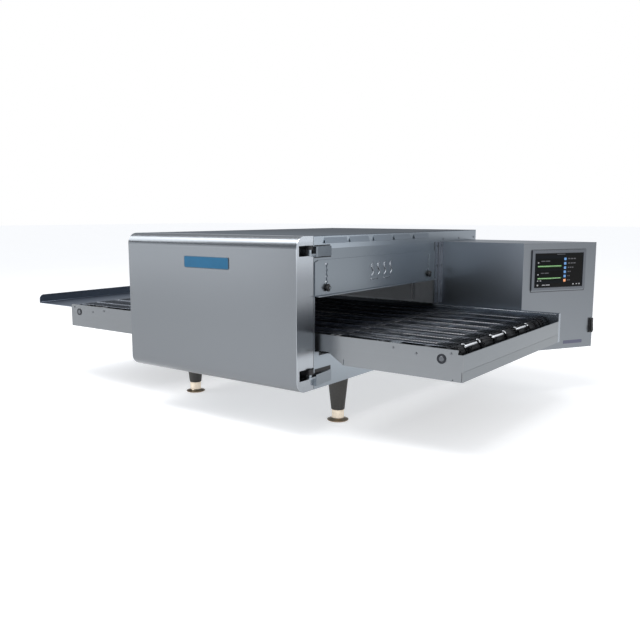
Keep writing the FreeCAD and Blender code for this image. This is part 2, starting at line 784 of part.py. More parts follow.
# Bushes that carry the two shafts in the rails.
bushes = []
for x in (xdrive, xidle):
    for y0, y1 in ((rail_f - 1.2, rail_f + 4), (rail_ri - 2, rail_ri + 3)):
        bushes.append(
            cut(
                cyl("y", x, zshaft, 9.7, y0, y1, "Bush"),
                cyl("y", x, zshaft, shaft_rad + fit_run, dim(y0) - 3, dim(y1) + 3, "BushBore"),
            )
        )
node(group(bushes, "Bushes"), "shaft_bushes")

# Drive shaft and idler shaft with their belt sprockets; the drive shaft has a chain sprocket.
spr_y = [-318.0, -267.0, -204.0, -140.0, -77.0, -13.0, 50.0, 114.0, 162.0]


def sprocket_row(x):
    out = []
    for y in spr_y:
        out.append(cyl("y", x, zshaft, 11, y - 8, y + 8, "Boss"))
        out.append(prism6("y", x, zshaft, sprock, 12, y - 6, y - 2, "Tooth"))
        out.append(prism6("y", x, zshaft, sprock, 12, y + 2, y + 6, "Tooth"))
    return out


node(
    fuse(
        [cyl("y", xdrive, zshaft, shaft_rad, rail_f - 1.4, 194.5, "DriveBar")]
        + sprocket_row(xdrive)
        + [prism6("y", xdrive, zshaft, chain_r, 14, 187.6, 192.4, "DriveChainWheel")],
        "DriveShaft",
    ),
    "drive_shaft",
)
node(
    fuse(
        [cyl("y", xidle, zshaft, shaft_rad, rail_f - 1.4, 190.5, "IdleBar")] + sprocket_row(xidle), "IdlerShaft"
    ),
    "idler_shaft",
)
# Gearmotor output shaft with its chain sprocket, and the chain inside the rear rail.
node(
    fuse(
        [
            cyl("y", xjack, zshaft, shaft_rad, 186, 216, "JackBar"),
            prism6("y", xjack, zshaft, chain_r, 14, 187.6, 192.4, "JackWheel"),
        ],
        "Jack",
    ),
    "gearmotor_output_shaft",
)
node(loop(xjack, xdrive, zshaft, chain_r + 3.2, 2.8, 187.8, 192.2, "Chain"), "drive_chain")


# Crumb trays: shallow pans that slide out of each end between the rails.
def crumb(s, label):
    end = xr_end if s > 0 else -xl_end
    inner = 333.0

    def bx(a, b, *rest):
        a, b = dim(a), dim(b)
        return box(a, b, *rest) if s > 0 else box(-b, -a, *rest)

    floor = cut(
        bx(inner, end - 2, rail_f + rg + 1.5, rail_ri - 1.5, 162.8, 176, "CrumbBlank"),
        bx(inner + 1.2, end - 3.2, rail_f + rg + 2.7, rail_ri - 2.7, 164, 180, "CrumbInside"),
    )
    front = bx(end - 2, end, rail_f + rg + 0.4, rail_ri - 0.4, rail_low + 0.3, 181.1, "CrumbFront")
    node(fuse([floor, front], "Crumb"), label)


crumb(1, "crumb_tray_right")
crumb(-1, "crumb_tray_left")

# Landing tray at the left end: floor, raised end wall with a rounded corner, hook and gussets.
wall = box(tray_x, tray_x + 1.2, rail_f, rail_r, tray_z, tray_top, "TrayWall")
wall = fillet(
    wall,
    lambda e: along(e, "x") and mid(e)[2] > tray_top.v - 0.1,
    14,
    "TrayWallRound",
)
tray = [
    box(tray_x, -603.5, rail_f + 2.4, rail_ri - 0.6, tray_z, tray_z + 1.2, "TrayFloor"),
    box(tray_x, xl_end - 0.1, rail_ri - 1, rail_r, tray_z, tray_z + 1.2, "TrayFloorRear"),
    box(tray_x, xl_end - 4, rail_f, rail_f + 2.6, tray_z, tray_z + 1.2, "TrayFloorEdge"),
    wall,
    box(tray_x + 1, -680, rail_r - 1.2, rail_r, tray_z, tray_top - 6, "TrayBack"),
    box(xl_end - 1.3, xl_end - 0.1, -330, 160, 188, tray_z + 0.2, "TrayHook"),
]
for y in (-120, 40):
    tray.append(
        prism(
            "xz",
            [
                (xl_end - 0.1, dim(188.0)),
                (xl_end - 0.1, tray_z + 0.2),
                (dim(-735.0), tray_z + 0.2),
                (dim(-735.0), tray_z - 4),
            ],
            y,
            y + 2,
            "TrayGusset",
        )
    )
node(fuse(tray, "LandingTray"), "landing_tray")


# ---------------------------------------------------------------- door
def slab(d, back):
    """Door block inset by d, its two front edges rounded."""
    b = box(d - bh, bh - d, ydoor + d, back, zbot + d, ztop - d, "DoorSlab")
    return fillet(
        b,
        lambda e: along(e, "x") and abs(mid(e)[1] - ydoor.v - d) < 0.01,
        bull.v - d,
        "DoorRound",
    )


def pockets(g):
    """Two hinge recesses at the right end and the finger pull at the left, grown by g."""
    return [
        box(244 - g, 290, -425 - g, -360, 127.5 - g, 150.5 + g, "HingePocketLow"),
        box(244 - g, 290, -425 - g, -360, 390.5 - g, 412.5 + g, "HingePocketHigh"),
        box(-290, -246 + g, -418 - g, -388 + g, 262 - g, 328 + g, "PullPocket"),
    ]


inner = cut(slab(1.5, dim(-370.0)), pockets(1.5), "DoorHollow", True)
skin = cut(slab(0.0, yseam), pockets(0.0) + [inner], "DoorSkin")
skin.Tool = fuse(pockets(0.0) + [inner])
node(skin, "door_skin")
node(
    cut(
        box(ts - bh, bh - ts, yseam - ts, yseam, zbot + ts, ztop - ts, "DoorInnerBlank"),
        [
            box(242.5, 290, -430, -360, 126, 152, "NotchLow"),
            box(242.5, 290, -430, -360, 389, 414, "NotchHigh"),
        ],
        "DoorInner",
        True,
    ),
    "door_inner_panel",
)
node(
    cut(slab(2.0, yseam - ts - 0.1), pockets(2.0), "DoorInsulation", True),
    "door_insulation",
)
node(
    cut(
        box(-241, 241, yseam, yseam + 3.3, 112, 396, "GasketBlank"),
        box(-232.5, 232.5, yseam - 5, yseam + 10, 120.5, 387.5, "GasketInside"),
        "Gasket",
    ),
    "door_gasket",
)
plate = box(-66, 75, ydoor - 1.5, ydoor, 354, 385, "BadgeBlank")
node(fillet(plate, lambda e: along(e, "y"), 8.0, "Badge"), "door_nameplate")
node(
    group(
        [box(-262, -244, yseam, yseam + 3.2, z, z + 34, "Magnet") for z in (180, 350)],
        "Magnets",
    ),
    "door_magnets",
)
lugs = []
for z0, z1 in ((138.0, 149.8), (404.0, 412.0)):
    lugs.append(
        cut(
            fuse(
                [
                    cyl("z", pin_x, pin_y, 7.2, z0, z1, "LugBush"),
                    box(244.2, pin_x, pin_y - 5.5, pin_y + 5.5, z0, z1, "LugWeb"),
                ]
            ),
            cyl("z", pin_x, pin_y, pin_rad + fit_run, z0 - 3, z1 - 1.5, "LugBore"),
            "Lug",
        )
    )
node(group(lugs, "Lugs"), "door_hinge_lugs")

# Hinge brackets on the body: wedge-shaped pockets of sheet, each with a tongue and an upright pin.
brackets = []
for z0, z1, open_up, t0, p1 in (
    (111.0, 136.0, True, 128.3, 147.6),
    (388.5, 409.8, False, 391.3, 409.8),
):
    outer = prism(
        "xy",
        [(bh, ybf - 0.1), (bh + 7.6, ybf - 0.1), (bh + 7.6, ybf + 6), (bh, dim(-310.0))],
        z0,
        z1,
        "WedgeOut",
    )
    i0, i1 = (z0 + 2, z1 + 5) if open_up else (z0 - 5, z1 - 2)
    inner_w = prism(
        "xy",
        [(bh - 3, ybf + 2), (bh + 5.6, ybf + 2), (bh + 5.6, ybf + 5.5), (bh - 3, dim(-318.0))],
        i0,
        i1,
        "WedgeIn",
    )
    brackets.append(
        fuse(
            [
                cut(outer, inner_w),
                box(260, 271, pin_y, ybf - 0.1, t0, t0 + 4, "Tongue"),
                box(bh, 271, ybf - 4, ybf + 2, t0, t0 + 4, "TongueRoot"),
                cyl("z", pin_x, pin_y, 5.5, t0, t0 + 4, "TongueEnd"),
                cyl("z", pin_x, pin_y, pin_rad, t0, p1, "HingePin"),
            ],
            "Bracket",
        )
    )
node(group(brackets, "Brackets"), "hinge_brackets")


# ---------------------------------------------------------------- baffles and their knobs
def baffle(s, label):
    def xs(a, b):
        a, b = dim(a), dim(b)
        return (a, b) if s > 0 else (-b, -a)

    p0, p1 = bh + 0.3, bh + 1.8
    ya = baf_front
    pts = [
        (ya, baf_low),
        (tun_back, baf_low),
        (tun_back, baf_top),
        (ya + 12, baf_top),
        (ya, baf_top - 4.5),
    ]
    lo, hi = xs(p0, p1)
    sheet_ = prism("yz", pts, lo, hi, "BafflePlate")
    l0, l1 = xs(p0, bh + 11)
    lip = box(l0, l1, ya + 4, tun_back, baf_low - 1.5, baf_low, "BaffleLip")
    c0, c1 = xs(bh - 5, bh + 20)
    slots_ = []
    for y in (stud_a, stud_b):
        slots_.append(box(c0, c1, y - 2.25, y + 2.25, stud_z - 2.4, stud_z + travel + 2.4, "Slot"))
        for i in range(5):
            slots_.append(
                box(c0, c1, y - 5, y + 5, stud_z + 12.7 * i - 1.6, stud_z + 12.7 * i + 1.6, "Rung")
            )
    node(fuse([cut(sheet_, slots_), lip], "Baffle"), label)


baffle(1, "baffle_right")
baffle(-1, "baffle_left")


def knob(s, y, label):
    def xs(a, b):
        a, b = dim(a), dim(b)
        return (a, b) if s > 0 else (-b, -a)

    h0, h1 = xs(bh + 2.2, bh + 10.2)
    w0, w1 = xs(bh + 3.6, bh + 10.8)
    b0, b1 = xs(bh, bh + 20)
    hub = cyl("x", y, stud_z, 6.4, h0, h1, "KnobHub")
    lobes = [
        cyl("x", dim(y) + u, dim(stud_z) + v, 3.6, w0, w1, "KnobLobe")
        for u, v in ((7.4, 0), (-7.4, 0), (0, 6.2), (0, -6.2))
    ]
    wings = fuse(lobes + [box(w0, w1, dim(y) - 7.4, dim(y) + 7.4, stud_z - 2.4, stud_z + 2.4, "Wing")])
    bore = cyl("x", y, stud_z, stud_rad + fit_run, b0, b1, "KnobBore")
    node(cut(fuse([hub, wings]), bore, "Knob"), label)


knob(1, stud_a, "knob_right_front")
knob(1, stud_b, "knob_right_rear")
knob(-1, stud_a, "knob_left_front")
knob(-1, stud_b, "knob_left_rear")

# Post that closes the corner between the right tunnel mouth and the control box.
node(
    fuse(
        [
            box(bh, bh + 2.2, tun_back + 1.2, cby - 0.3, rrail_top + 3, zflange, "PostPlate"),
            box(bh, bh + 12, cby - 1.8, cby - 0.3, rrail_top + 3, zflange, "PostFlange"),
        ],
        "Post",
    ),
    "side_post_right",
)

# ---------------------------------------------------------------- control box
sec = (1 + slope.v * slope.v) ** 0.5
face_len = (cby_far - cby) * sec
ang = math.degrees(math.atan2(1.0, slope.v))
ca, sa = math.cos(math.radians(ang)), math.sin(math.radians(ang))


def face_x(y, inset):
    return cbx + slope * (dim(y) - cby) - inset * sec


outer_cb = prism(
    "xy", [(bh, cby), (cbx, cby), (cbx_far, cby_far), (bh, cby_far)], cbz, cbz_top, "BoxOut"
)
yi0, yi1 = cby + ts, cby_far - ts
inner_cb = prism(
    "xy",
    [(bh - 5, yi0), (face_x(yi0, ts), yi0), (face_x(yi1, ts), yi1), (bh - 5, yi1)],
    cbz - 5,
    cbz_top - ts,
    "BoxIn",
)


def fbox(s0, s1, d0, d1, z0, z1, name="FaceBox"):
    """Block on the angled face: s along it, d inwards from it, z up."""
    o = doc.addObject("Part::Box", name)
    bind(o, "Length", dim(s1) - s0)
    bind(o, "Width", dim(d1) - d0)
    bind(o, "Height", dim(z1) - z0)
    o.Placement = FreeCAD.Placement(FreeCAD.Vector(), FreeCAD.Rotation(FreeCAD.Vector(0, 0, 1), ang))
    bind(o, "Placement.Base.x", cbx + ox + (dim(s0).v * ca - dim(d0).v * sa))
    bind(o, "Placement.Base.y", cby + oy + (dim(s0).v * sa + dim(d0).v * ca))
    bind(o, "Placement.Base.z", z0)
    return o


box_cuts = [
    fbox(34, 192.5, -5, 5, 288, 378, "ScreenWindow"),
    fbox(227.2, 235.2, -5, 5, 163.5, 197.5, "RockerWindow"),
    cyl("y", xjack, zshaft, 11, cby - 5, cby + 5, "OutputHole"),
]
for i in range(7):
    box_cuts.append(box(490, 562, 395, 415, 168 + 12 * i, 173 + 12 * i, "FanVent"))
node(cut(outer_cb, [inner_cb] + box_cuts, "BoxHousing"), "control_box_housing")
base_cb = prism(
    "xy",
    [
        (bh + 0.2, yi0 + 0.1),
        (face_x(yi0 + 0.1, ts + 0.1), yi0 + 0.1),
        (face_x(yi1 - 0.1, ts + 0.1), yi1 - 0.1),
        (bh + 0.2, yi1 - 0.1),
    ],
    cbz,
    cbz + ts,
    "BoxBase",
)
node(base_cb, "control_box_base")

bez = cut(
    fbox(25.7, 201, -4, 0, 282, 385, "BezelBlank"),
    fbox(34, 192.5, -10, 5, 288, 378, "BezelInside"),
    "BezelRing",
)
node(bez, "screen_bezel")
node(fbox(34.1, 192.4, -2.6, 1.4, 288.1, 377.9, "Glass"), "touch_screen")
node(
    group(
        [
            fbox(40, 186, 2, 16, 293, 373, "DisplayModule"),
            box(292, 432, 394, 396, 180, 345, "Board"),
            box(300, 330, 380, 394, 200, 240, "Relay"),
            box(345, 385, 378, 394, 200, 250, "Transformer"),
            box(300, 420, 384, 394, 280, 330, "HeatSink"),
            box(292, 402, 330, 372, cbz + ts, 168, "Supply"),
        ],
        "Electronics",
    ),
    "control_electronics",
)
node(
    cut(
        fuse(
            [
                box(xjack - 34, xjack + 34, 206.5, 240, 168, 238, "GearCase"),
                cyl("y", xjack, zshaft, 29, 239, 322, "MotorCan"),
                box(xjack - 26, xjack + 26, 210, 300, cbz + ts, 176, "GearPedestal"),
            ]
        ),
        cyl("y", xjack, zshaft, shaft_rad + fit_run, 200, 226, "OutputBore"),
        "Gearmotor",
    ),
    "gearmotor",
)
# Cooling fan: square frame on the back wall, rotor on a pin.
fx, fz = 526.0, 206.0
node(
    fuse(
        [
            cut(
                box(fx - 46, fx + 46, cby_far - ts - 25, cby_far - ts, fz - 46, fz + 46, "FanFrame"),
                cyl("y", fx, fz, 43, 370, 410, "FanBore"),
            ),
            box(fx - 44, fx + 44, cby_far - ts - 3, cby_far - ts, fz - 3, fz + 3, "FanStrut"),
            box(fx - 3, fx + 3, cby_far - ts - 3, cby_far - ts, fz - 44, fz + 44, "FanStrut"),
            cyl("y", fx, fz, 3, cby_far - ts - 20, cby_far - ts, "FanPin"),
        ],
        "FanFrameAll",
    ),
    "cooling_fan_frame",
)
fan_blades = []
for i in range(7):
    a = 2 * math.pi * i / 7.0
    bl = doc.addObject("Part::Box", "FanBlade")
    bl.Length, bl.Width, bl.Height = 26.0, 14.0, 2.0
    rot = FreeCAD.Rotation(FreeCAD.Vector(0, 1, 0), -math.degrees(a)).multiply(
        FreeCAD.Rotation(FreeCAD.Vector(1, 0, 0), 32)
    )
    bl.Placement = FreeCAD.Placement(FreeCAD.Vector(), rot)
    bind(bl, "Placement.Base.x", dim(fx + 13 * math.cos(a)) + ox)
    bind(bl, "Placement.Base.y", cby_far - ts - 21 + oy)
    bind(bl, "Placement.Base.z", fz + 13 * math.sin(a) - 2)
    fan_blades.append(bl)
node(
    cut(
        fuse([cyl("y", fx, fz, 17, cby_far - ts - 22, cby_far - ts - 5, "FanHub")] + fan_blades),
        cyl("y", fx, fz, dim(3) + fit_run, 370, 410, "FanHubBore"),
        "FanRotor",
    ),
    "cooling_fan_rotor",
)
# Power switch at the far edge of the angled face: a bezel and a rocker on a pin, rocked to "off".
pivot_s, pivot_d, pivot_z = 231.2, -2.0, 180.5
face_rot = FreeCAD.Rotation(FreeCAD.Vector(0, 0, 1), ang)


def fpin(s0, s1, d, z, r, name):
    o = doc.addObject("Part::Cylinder", name)
    o.Radius = r
    o.Height = s1 - s0
    start = face_rot.multVec(FreeCAD.Vector(s0, d, z))
    o.Placement = FreeCAD.Placement(
        FreeCAD.Vector(), FreeCAD.Rotation(FreeCAD.Vector(0, 0, 1), face_rot.multVec(FreeCAD.Vector(1, 0, 0)))
    )
    bind(o, "Placement.Base.x", cbx + ox + start.x)
    bind(o, "Placement.Base.y", cby + oy + start.y)
    bind(o, "Placement.Base.z", z)
    return o


node(
    cut(
        fuse(
            [
                fbox(225.4, 237.2, -4, 0, 161, 200, "SwitchFlange"),
                fbox(227.3, 235.1, -1, 1.4, 163.6, 197.4, "SwitchBody"),
            ]
        ),
        [
            fbox(227.7, 234.7, -10, 3.5, 163.7, 197.3, "SwitchHollow"),
            fpin(226.0, 236.6, pivot_d, pivot_z, 1.05, "SwitchPivotBore"),
        ],
        "SwitchBezel",
    ),
    "power_switch_bezel",
)
rk = doc.addObject("Part::Box", "RockerBlock")
rk.Length, rk.Width, rk.Height = 6.4, 7.0, 31.0
tilt = -6.0
tilt_rot = FreeCAD.Rotation(FreeCAD.Vector(1, 0, 0), tilt)
corner = tilt_rot.multVec(FreeCAD.Vector(-3.2, -5.6, -15.5))
local = FreeCAD.Vector(pivot_s + corner.x, pivot_d + corner.y, pivot_z + corner.z)
world = face_rot.multVec(local)
rk.Placement = FreeCAD.Placement(FreeCAD.Vector(), face_rot.multiply(tilt_rot))
bind(rk, "Placement.Base.x", cbx + ox + world.x)
bind(rk, "Placement.Base.y", cby + oy + world.y)
bind(rk, "Placement.Base.z", world.z)
node(fuse([rk, fpin(226.1, 236.5, pivot_d, pivot_z, 1.0, "RockerPin")], "Rocker"), "power_rocker")

# Cord gland in the back panel: hexagon, dome and a through bore for the mains lead.
gx, gz = -205.0, 150.0
node(
    cut(
        fuse(
            [
                cyl("y", gx, gz, 11, yback - 6, yback + 2, "GlandNeck"),
                prism6("y", gx, gz, 15, 6, yback, yback + 7, "GlandHex"),
                cyl("y", gx, gz, 11.5, yback + 6, yback + 18.5, "GlandNose"),
                prism6("y", gx, gz, 15, 6, yback - 7.5, yback - ts, "GlandNut"),
            ]
        ),
        cyl("y", gx, gz, 6.5, 400, 470, "GlandBore"),
        "Gland",
    ),
    "cord_gland",
)

# Screws: domed heads on the panels and rails.
screws = []


def screw(axis, u, v, a0, sign, r=3.0):
    a0 = dim(a0)
    lo, hi = (a0, a0 + 1.6) if sign > 0 else (a0 - 1.6, a0)
    c = cyl(axis, u, v, r, lo, hi, "Screw")
    return c


for z in (392, 339, 262):
    screws.append(screw("x", 187, z, bh + 2.2, 1))
for y in (222, 320, 418):
    screws.append(screw("x", y, 411, bh, 1, 2.6))
for y in (-360, 222, 418):
    screws.append(screw("x", y, 411, -bh, -1, 2.6))
for x, z in ((452, 213), (504, 207), (579, 215), (-470, 213), (-520, 207), (-604, 215)):
    screws.append(screw("y", x, z, rail_f, -1, 2.2))
for x in (-240, 0, 240):
    for z in (114, 395):
        screws.append(screw("y", x, z, yback, 1, 3.0))
for x in (290, 440, 590):
    for z in (132, 396):
        screws.append(screw("y", x, z, cby_far, 1, 2.6))
node(group(screws, "Screws"), "panel_screws")

# ---------------------------------------------------------------- check and write
doc.recompute()
bad = []
for o in doc.Objects:
    if "Invalid" in o.State or "Error" in o.State:
        bad.append(o.Name + ":" + ",".join(o.State))
for label, o in nodes:
    if o.Shape.isNull() or not o.Shape.isValid() or not o.Shape.Solids:
        bad.append(label + ": bad shape")
if bad:
    raise SystemExit("failed: " + "; ".join(bad))
if len(nodes) > 60 or len(set(n for n, _ in nodes)) != len(nodes):
    raise SystemExit("node names: %d" % len(nodes))
os.makedirs("parts", exist_ok=True)
for old in os.listdir("parts"):
    if old.endswith(".step") and old[:-5] not in [n for n, _ in nodes]:
        os.remove(os.path.join("parts", old))
allbox = FreeCAD.BoundBox()
for label, o in nodes:
    o.Shape.exportStep("parts/%s.step" % label)
    allbox.add(o.Shape.BoundBox)
    bb = o.Shape.BoundBox
    print(
        "%-24s solids %2d  X %8.1f %8.1f  Y %8.1f %8.1f  Z %7.1f %7.1f  vol %9.1f cm3"
        % (label, len(o.Shape.Solids), bb.XMin, bb.XMax, bb.YMin, bb.YMax, bb.ZMin, bb.ZMax, o.Shape.Volume / 1000)
    )
print("nodes", len(nodes))
print(
    "all X %.3f %.3f  Y %.3f %.3f  Z %.3f %.3f"
    % (allbox.XMin, allbox.XMax, allbox.YMin, allbox.YMax, allbox.ZMin, allbox.ZMax)
)
print(
    "centre off by", (allbox.XMin + allbox.XMax) / 2, (allbox.YMin + allbox.YMax) / 2, "lowest", allbox.ZMin
)
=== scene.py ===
import math

import bmesh
import bpy
import numpy as np
from mathutils import Matrix, Vector


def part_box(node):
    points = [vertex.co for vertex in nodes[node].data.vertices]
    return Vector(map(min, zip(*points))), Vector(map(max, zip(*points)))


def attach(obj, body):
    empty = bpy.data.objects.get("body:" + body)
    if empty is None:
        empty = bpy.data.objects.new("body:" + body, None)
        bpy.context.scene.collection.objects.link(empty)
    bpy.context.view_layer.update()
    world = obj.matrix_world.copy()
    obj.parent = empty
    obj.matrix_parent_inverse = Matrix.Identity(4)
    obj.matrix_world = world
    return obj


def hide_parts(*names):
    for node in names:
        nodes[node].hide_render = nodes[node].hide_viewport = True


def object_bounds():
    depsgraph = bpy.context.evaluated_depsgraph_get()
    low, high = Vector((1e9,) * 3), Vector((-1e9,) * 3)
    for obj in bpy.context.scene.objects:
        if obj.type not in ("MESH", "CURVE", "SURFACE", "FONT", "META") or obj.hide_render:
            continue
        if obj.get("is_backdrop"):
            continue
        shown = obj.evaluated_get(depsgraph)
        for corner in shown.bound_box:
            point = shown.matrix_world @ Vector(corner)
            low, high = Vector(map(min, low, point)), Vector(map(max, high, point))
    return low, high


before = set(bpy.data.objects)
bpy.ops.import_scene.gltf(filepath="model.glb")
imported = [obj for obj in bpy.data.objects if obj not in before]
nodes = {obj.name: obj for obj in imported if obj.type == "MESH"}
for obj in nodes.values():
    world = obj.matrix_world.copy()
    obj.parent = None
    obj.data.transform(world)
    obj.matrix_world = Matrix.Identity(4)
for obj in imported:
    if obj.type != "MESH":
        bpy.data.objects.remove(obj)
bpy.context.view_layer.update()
scene = bpy.context.scene

# Millimetres measured from the centre of the oven body, as the CAD source states them.
_lo, _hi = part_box("top_cover")
OX, OY = (_lo.x + _hi.x) / 2, -0.0085


def P(x, y, z):
    return Vector((x / 1000 + OX, y / 1000 + OY, z / 1000))


# ------------------------------------------------------------------ camera, floor and light
cam_data = bpy.data.cameras.new("Camera")
cam = bpy.data.objects.new("Camera", cam_data)
scene.collection.objects.link(cam)
cam_data.sensor_width = 36.0
cam_data.lens = 40.42
cam_data.clip_start, cam_data.clip_end = 0.05, 60.0
cam.location = P(1174.4, -1587.1, 475.45)
cam.rotation_euler = (math.radians(90 - 8.31), 0.0, math.radians(36.40))
scene.camera = cam

scene.view_settings.view_transform = "Standard"
scene.view_settings.look = "None"
scene.view_settings.exposure = 0.0

world = bpy.data.worlds.new("Studio")
scene.world = world
world.use_nodes = True
wn, wl = world.node_tree.nodes, world.node_tree.links
wn.clear()
w_out = wn.new("ShaderNodeOutputWorld")
w_mix = wn.new("ShaderNodeMixShader")
w_path = wn.new("ShaderNodeLightPath")
w_seen = wn.new("ShaderNodeBackground")
w_seen.inputs["Color"].default_value = (1.0, 1.0, 1.0, 1)
w_seen.inputs["Strength"].default_value = 1.0
w_env = wn.new("ShaderNodeBackground")
w_env.inputs["Strength"].default_value = 0.80
w_tc = wn.new("ShaderNodeTexCoord")
w_sep = wn.new("ShaderNodeSeparateXYZ")
w_map = wn.new("ShaderNodeMapRange")
w_ramp = wn.new("ShaderNodeValToRGB")
w_map.inputs["From Min"].default_value = -1.0
w_map.inputs["From Max"].default_value = 1.0
wl.new(w_tc.outputs["Generated"], w_sep.inputs[0])
wl.new(w_sep.outputs["Z"], w_map.inputs["Value"])
wl.new(w_map.outputs["Result"], w_ramp.inputs["Fac"])
wl.new(w_ramp.outputs["Color"], w_env.inputs["Color"])
cr = w_ramp.color_ramp
cr.elements[0].position, cr.elements[0].color = 0.0, (0.55, 0.56, 0.58, 1)
cr.elements[1].position, cr.elements[1].color = 1.0, (1.0, 1.0, 1.02, 1)
for pos, c in ((0.48, (0.62, 0.64, 0.67, 1)), (0.55, (0.70, 0.74, 0.79, 1)), (0.64, (0.46, 0.49, 0.54, 1)), (0.74, (0.50, 0.53, 0.57, 1)), (0.86, (0.95, 0.98, 1.02, 1))):
    e = cr.elements.new(pos)
    e.color = c
wl.new(w_path.outputs["Is Camera Ray"], w_mix.inputs["Fac"])
wl.new(w_env.outputs[0], w_mix.inputs[1])
wl.new(w_seen.outputs[0], w_mix.inputs[2])
wl.new(w_mix.outputs[0], w_out.inputs["Surface"])


def area(name, loc, target, size, size_y, power, color=(1, 1, 1)):
    d = bpy.data.lights.new(name, "AREA")
    d.shape = "RECTANGLE"
    d.size, d.size_y = size, size_y
    d.energy = power
    d.color = color
    o = bpy.data.objects.new(name, d)
    o.location = Vector(loc)
    o.rotation_euler = (Vector(target) - Vector(loc)).to_track_quat("-Z", "Y").to_euler()
    scene.collection.objects.link(o)
    o.visible_camera = False
    return o


area("TopSoftbox", (-0.2, -0.9, 2.6), (0.0, -0.2, 0.3), 2.6, 1.2, 55, (1.0, 1.0, 1.0))
area("LeftSoftbox", (-2.6, -2.5, 0.42), (0.0, -0.2, 0.3), 2.4, 0.75, 9, (0.96, 0.98, 1.0))
area("EdgeStrip", (-1.75, -1.15, 1.92), (0.0, -0.44, 0.43), 1.15, 1.9, 34, (0.98, 0.99, 1.0))
area("TunnelFill", P(-130, -170, 292), P(-100, 190, 255), 0.34, 0.05, 0.06, (0.96, 0.98, 1.0))
area("RightSoftbox", (3.0, -0.6, 1.2), (0.3, 0.0, 0.25), 1.6, 1.6, 22, (1.0, 0.99, 0.97))


# ------------------------------------------------------------------ materials
def material(name):
    m = bpy.data.materials.new(name)
    m.use_nodes = True
    n, l = m.node_tree.nodes, m.node_tree.links
    n.clear()
    out = n.new("ShaderNodeOutputMaterial")
    b = n.new("ShaderNodeBsdfPrincipled")
    l.new(b.outputs[0], out.inputs["Surface"])
    return m, n, l, b


def noise(n, l, scale3, detail=3.0, rough=0.55, coords=None, offset=(0, 0, 0)):
    tc = n.new("ShaderNodeTexCoord")
    mp = n.new("ShaderNodeMapping")
    mp.inputs["Scale"].default_value = scale3
    mp.inputs["Location"].default_value = offset
    if coords is not None:
        mp.inputs["Rotation"].default_value = coords
    t = n.new("ShaderNodeTexNoise")
    t.inputs["Scale"].default_value = 1.0
    t.inputs["Detail"].default_value = detail
    t.inputs["Roughness"].default_value = rough
    l.new(tc.outputs["Object"], mp.inputs["Vector"])
    l.new(mp.outputs[0], t.inputs["Vector"])
    return t.outputs["Fac"]


def ramp(n, l, fac, stops):
    r = n.new("ShaderNodeValToRGB")
    e = r.color_ramp.elements
    e[0].position, e[0].color = stops[0][0], (*stops[0][1], 1)
    e[1].position, e[1].color = stops[-1][0], (*stops[-1][1], 1)
    for p, c in stops[1:-1]:
        x = e.new(p)
        x.color = (*c, 1)
    l.new(fac, r.inputs["Fac"])
    return r.outputs["Color"]


def mix(n, l, kind, fac, a, b):
    m = n.new("ShaderNodeMix")
    m.data_type = "RGBA"
    m.blend_type = kind
    if isinstance(fac, float):
        m.inputs["Factor"].default_value = fac
    else:
        l.new(fac, m.inputs["Factor"])
    for s, v in ((m.inputs[6], a), (m.inputs[7], b)):
        if isinstance(v, tuple):
            s.default_value = (*v, 1)
        else:
            l.new(v, s)
    return m.outputs[2]


def remap(n, l, v, lo, hi):
    m = n.new("ShaderNodeMapRange")
    m.inputs["To Min"].default_value = lo
    m.inputs["To Max"].default_value = hi
    l.new(v, m.inputs["Value"])
    return m.outputs["Result"]


def bump(n, l, b, h, strength, dist):
    bp = n.new("ShaderNodeBump")
    bp.inputs["Strength"].default_value = strength
    bp.inputs["Distance"].default_value = dist
    l.new(h, bp.inputs["Height"])
    l.new(bp.outputs[0], b.inputs["Normal"])


GRAIN = {
    "X": ((1.6, 240, 240), (9, 2600, 2600)),
    "Y": ((240, 1.6, 240), (2600, 9, 2600)),
    "Z": ((240, 240, 1.6), (2600, 2600, 9)),
}


def tint(c, k):
    return tuple(min(1.0, v * k) for v in c)


def zone(n, l, c, axis, a, b, k0, k1, mask=None):
    """Multiplies a colour by k0 below a and k1 above b along one axis of the piece, where mask (axis, from, to) is past its end."""
    tc = n.new("ShaderNodeTexCoord")
    sp = n.new("ShaderNodeSeparateXYZ")
    l.new(tc.outputs["Object"], sp.inputs[0])
    mr = n.new("ShaderNodeMapRange")
    mr.interpolation_type = "SMOOTHSTEP"
    mr.inputs["From Min"].default_value = a
    mr.inputs["From Max"].default_value = b
    l.new(sp.outputs[axis], mr.inputs["Value"])
    k0 = k0 if isinstance(k0, tuple) else (k0,) * 3
    k1 = k1 if isinstance(k1, tuple) else (k1,) * 3
    f = ramp(n, l, mr.outputs["Result"], [(0.0, k0), (1.0, k1)])
    for m_axis, m0, m1 in mask or ():
        mm = n.new("ShaderNodeMapRange")
        mm.inputs["From Min"].default_value = m0
        mm.inputs["From Max"].default_value = m1
        l.new(sp.outputs[m_axis], mm.inputs["Value"])
        f = mix(n, l, "MIX", mm.outputs["Result"], (1.0, 1.0, 1.0), f)
    return mix(n, l, "MULTIPLY", 1.0, c, f)


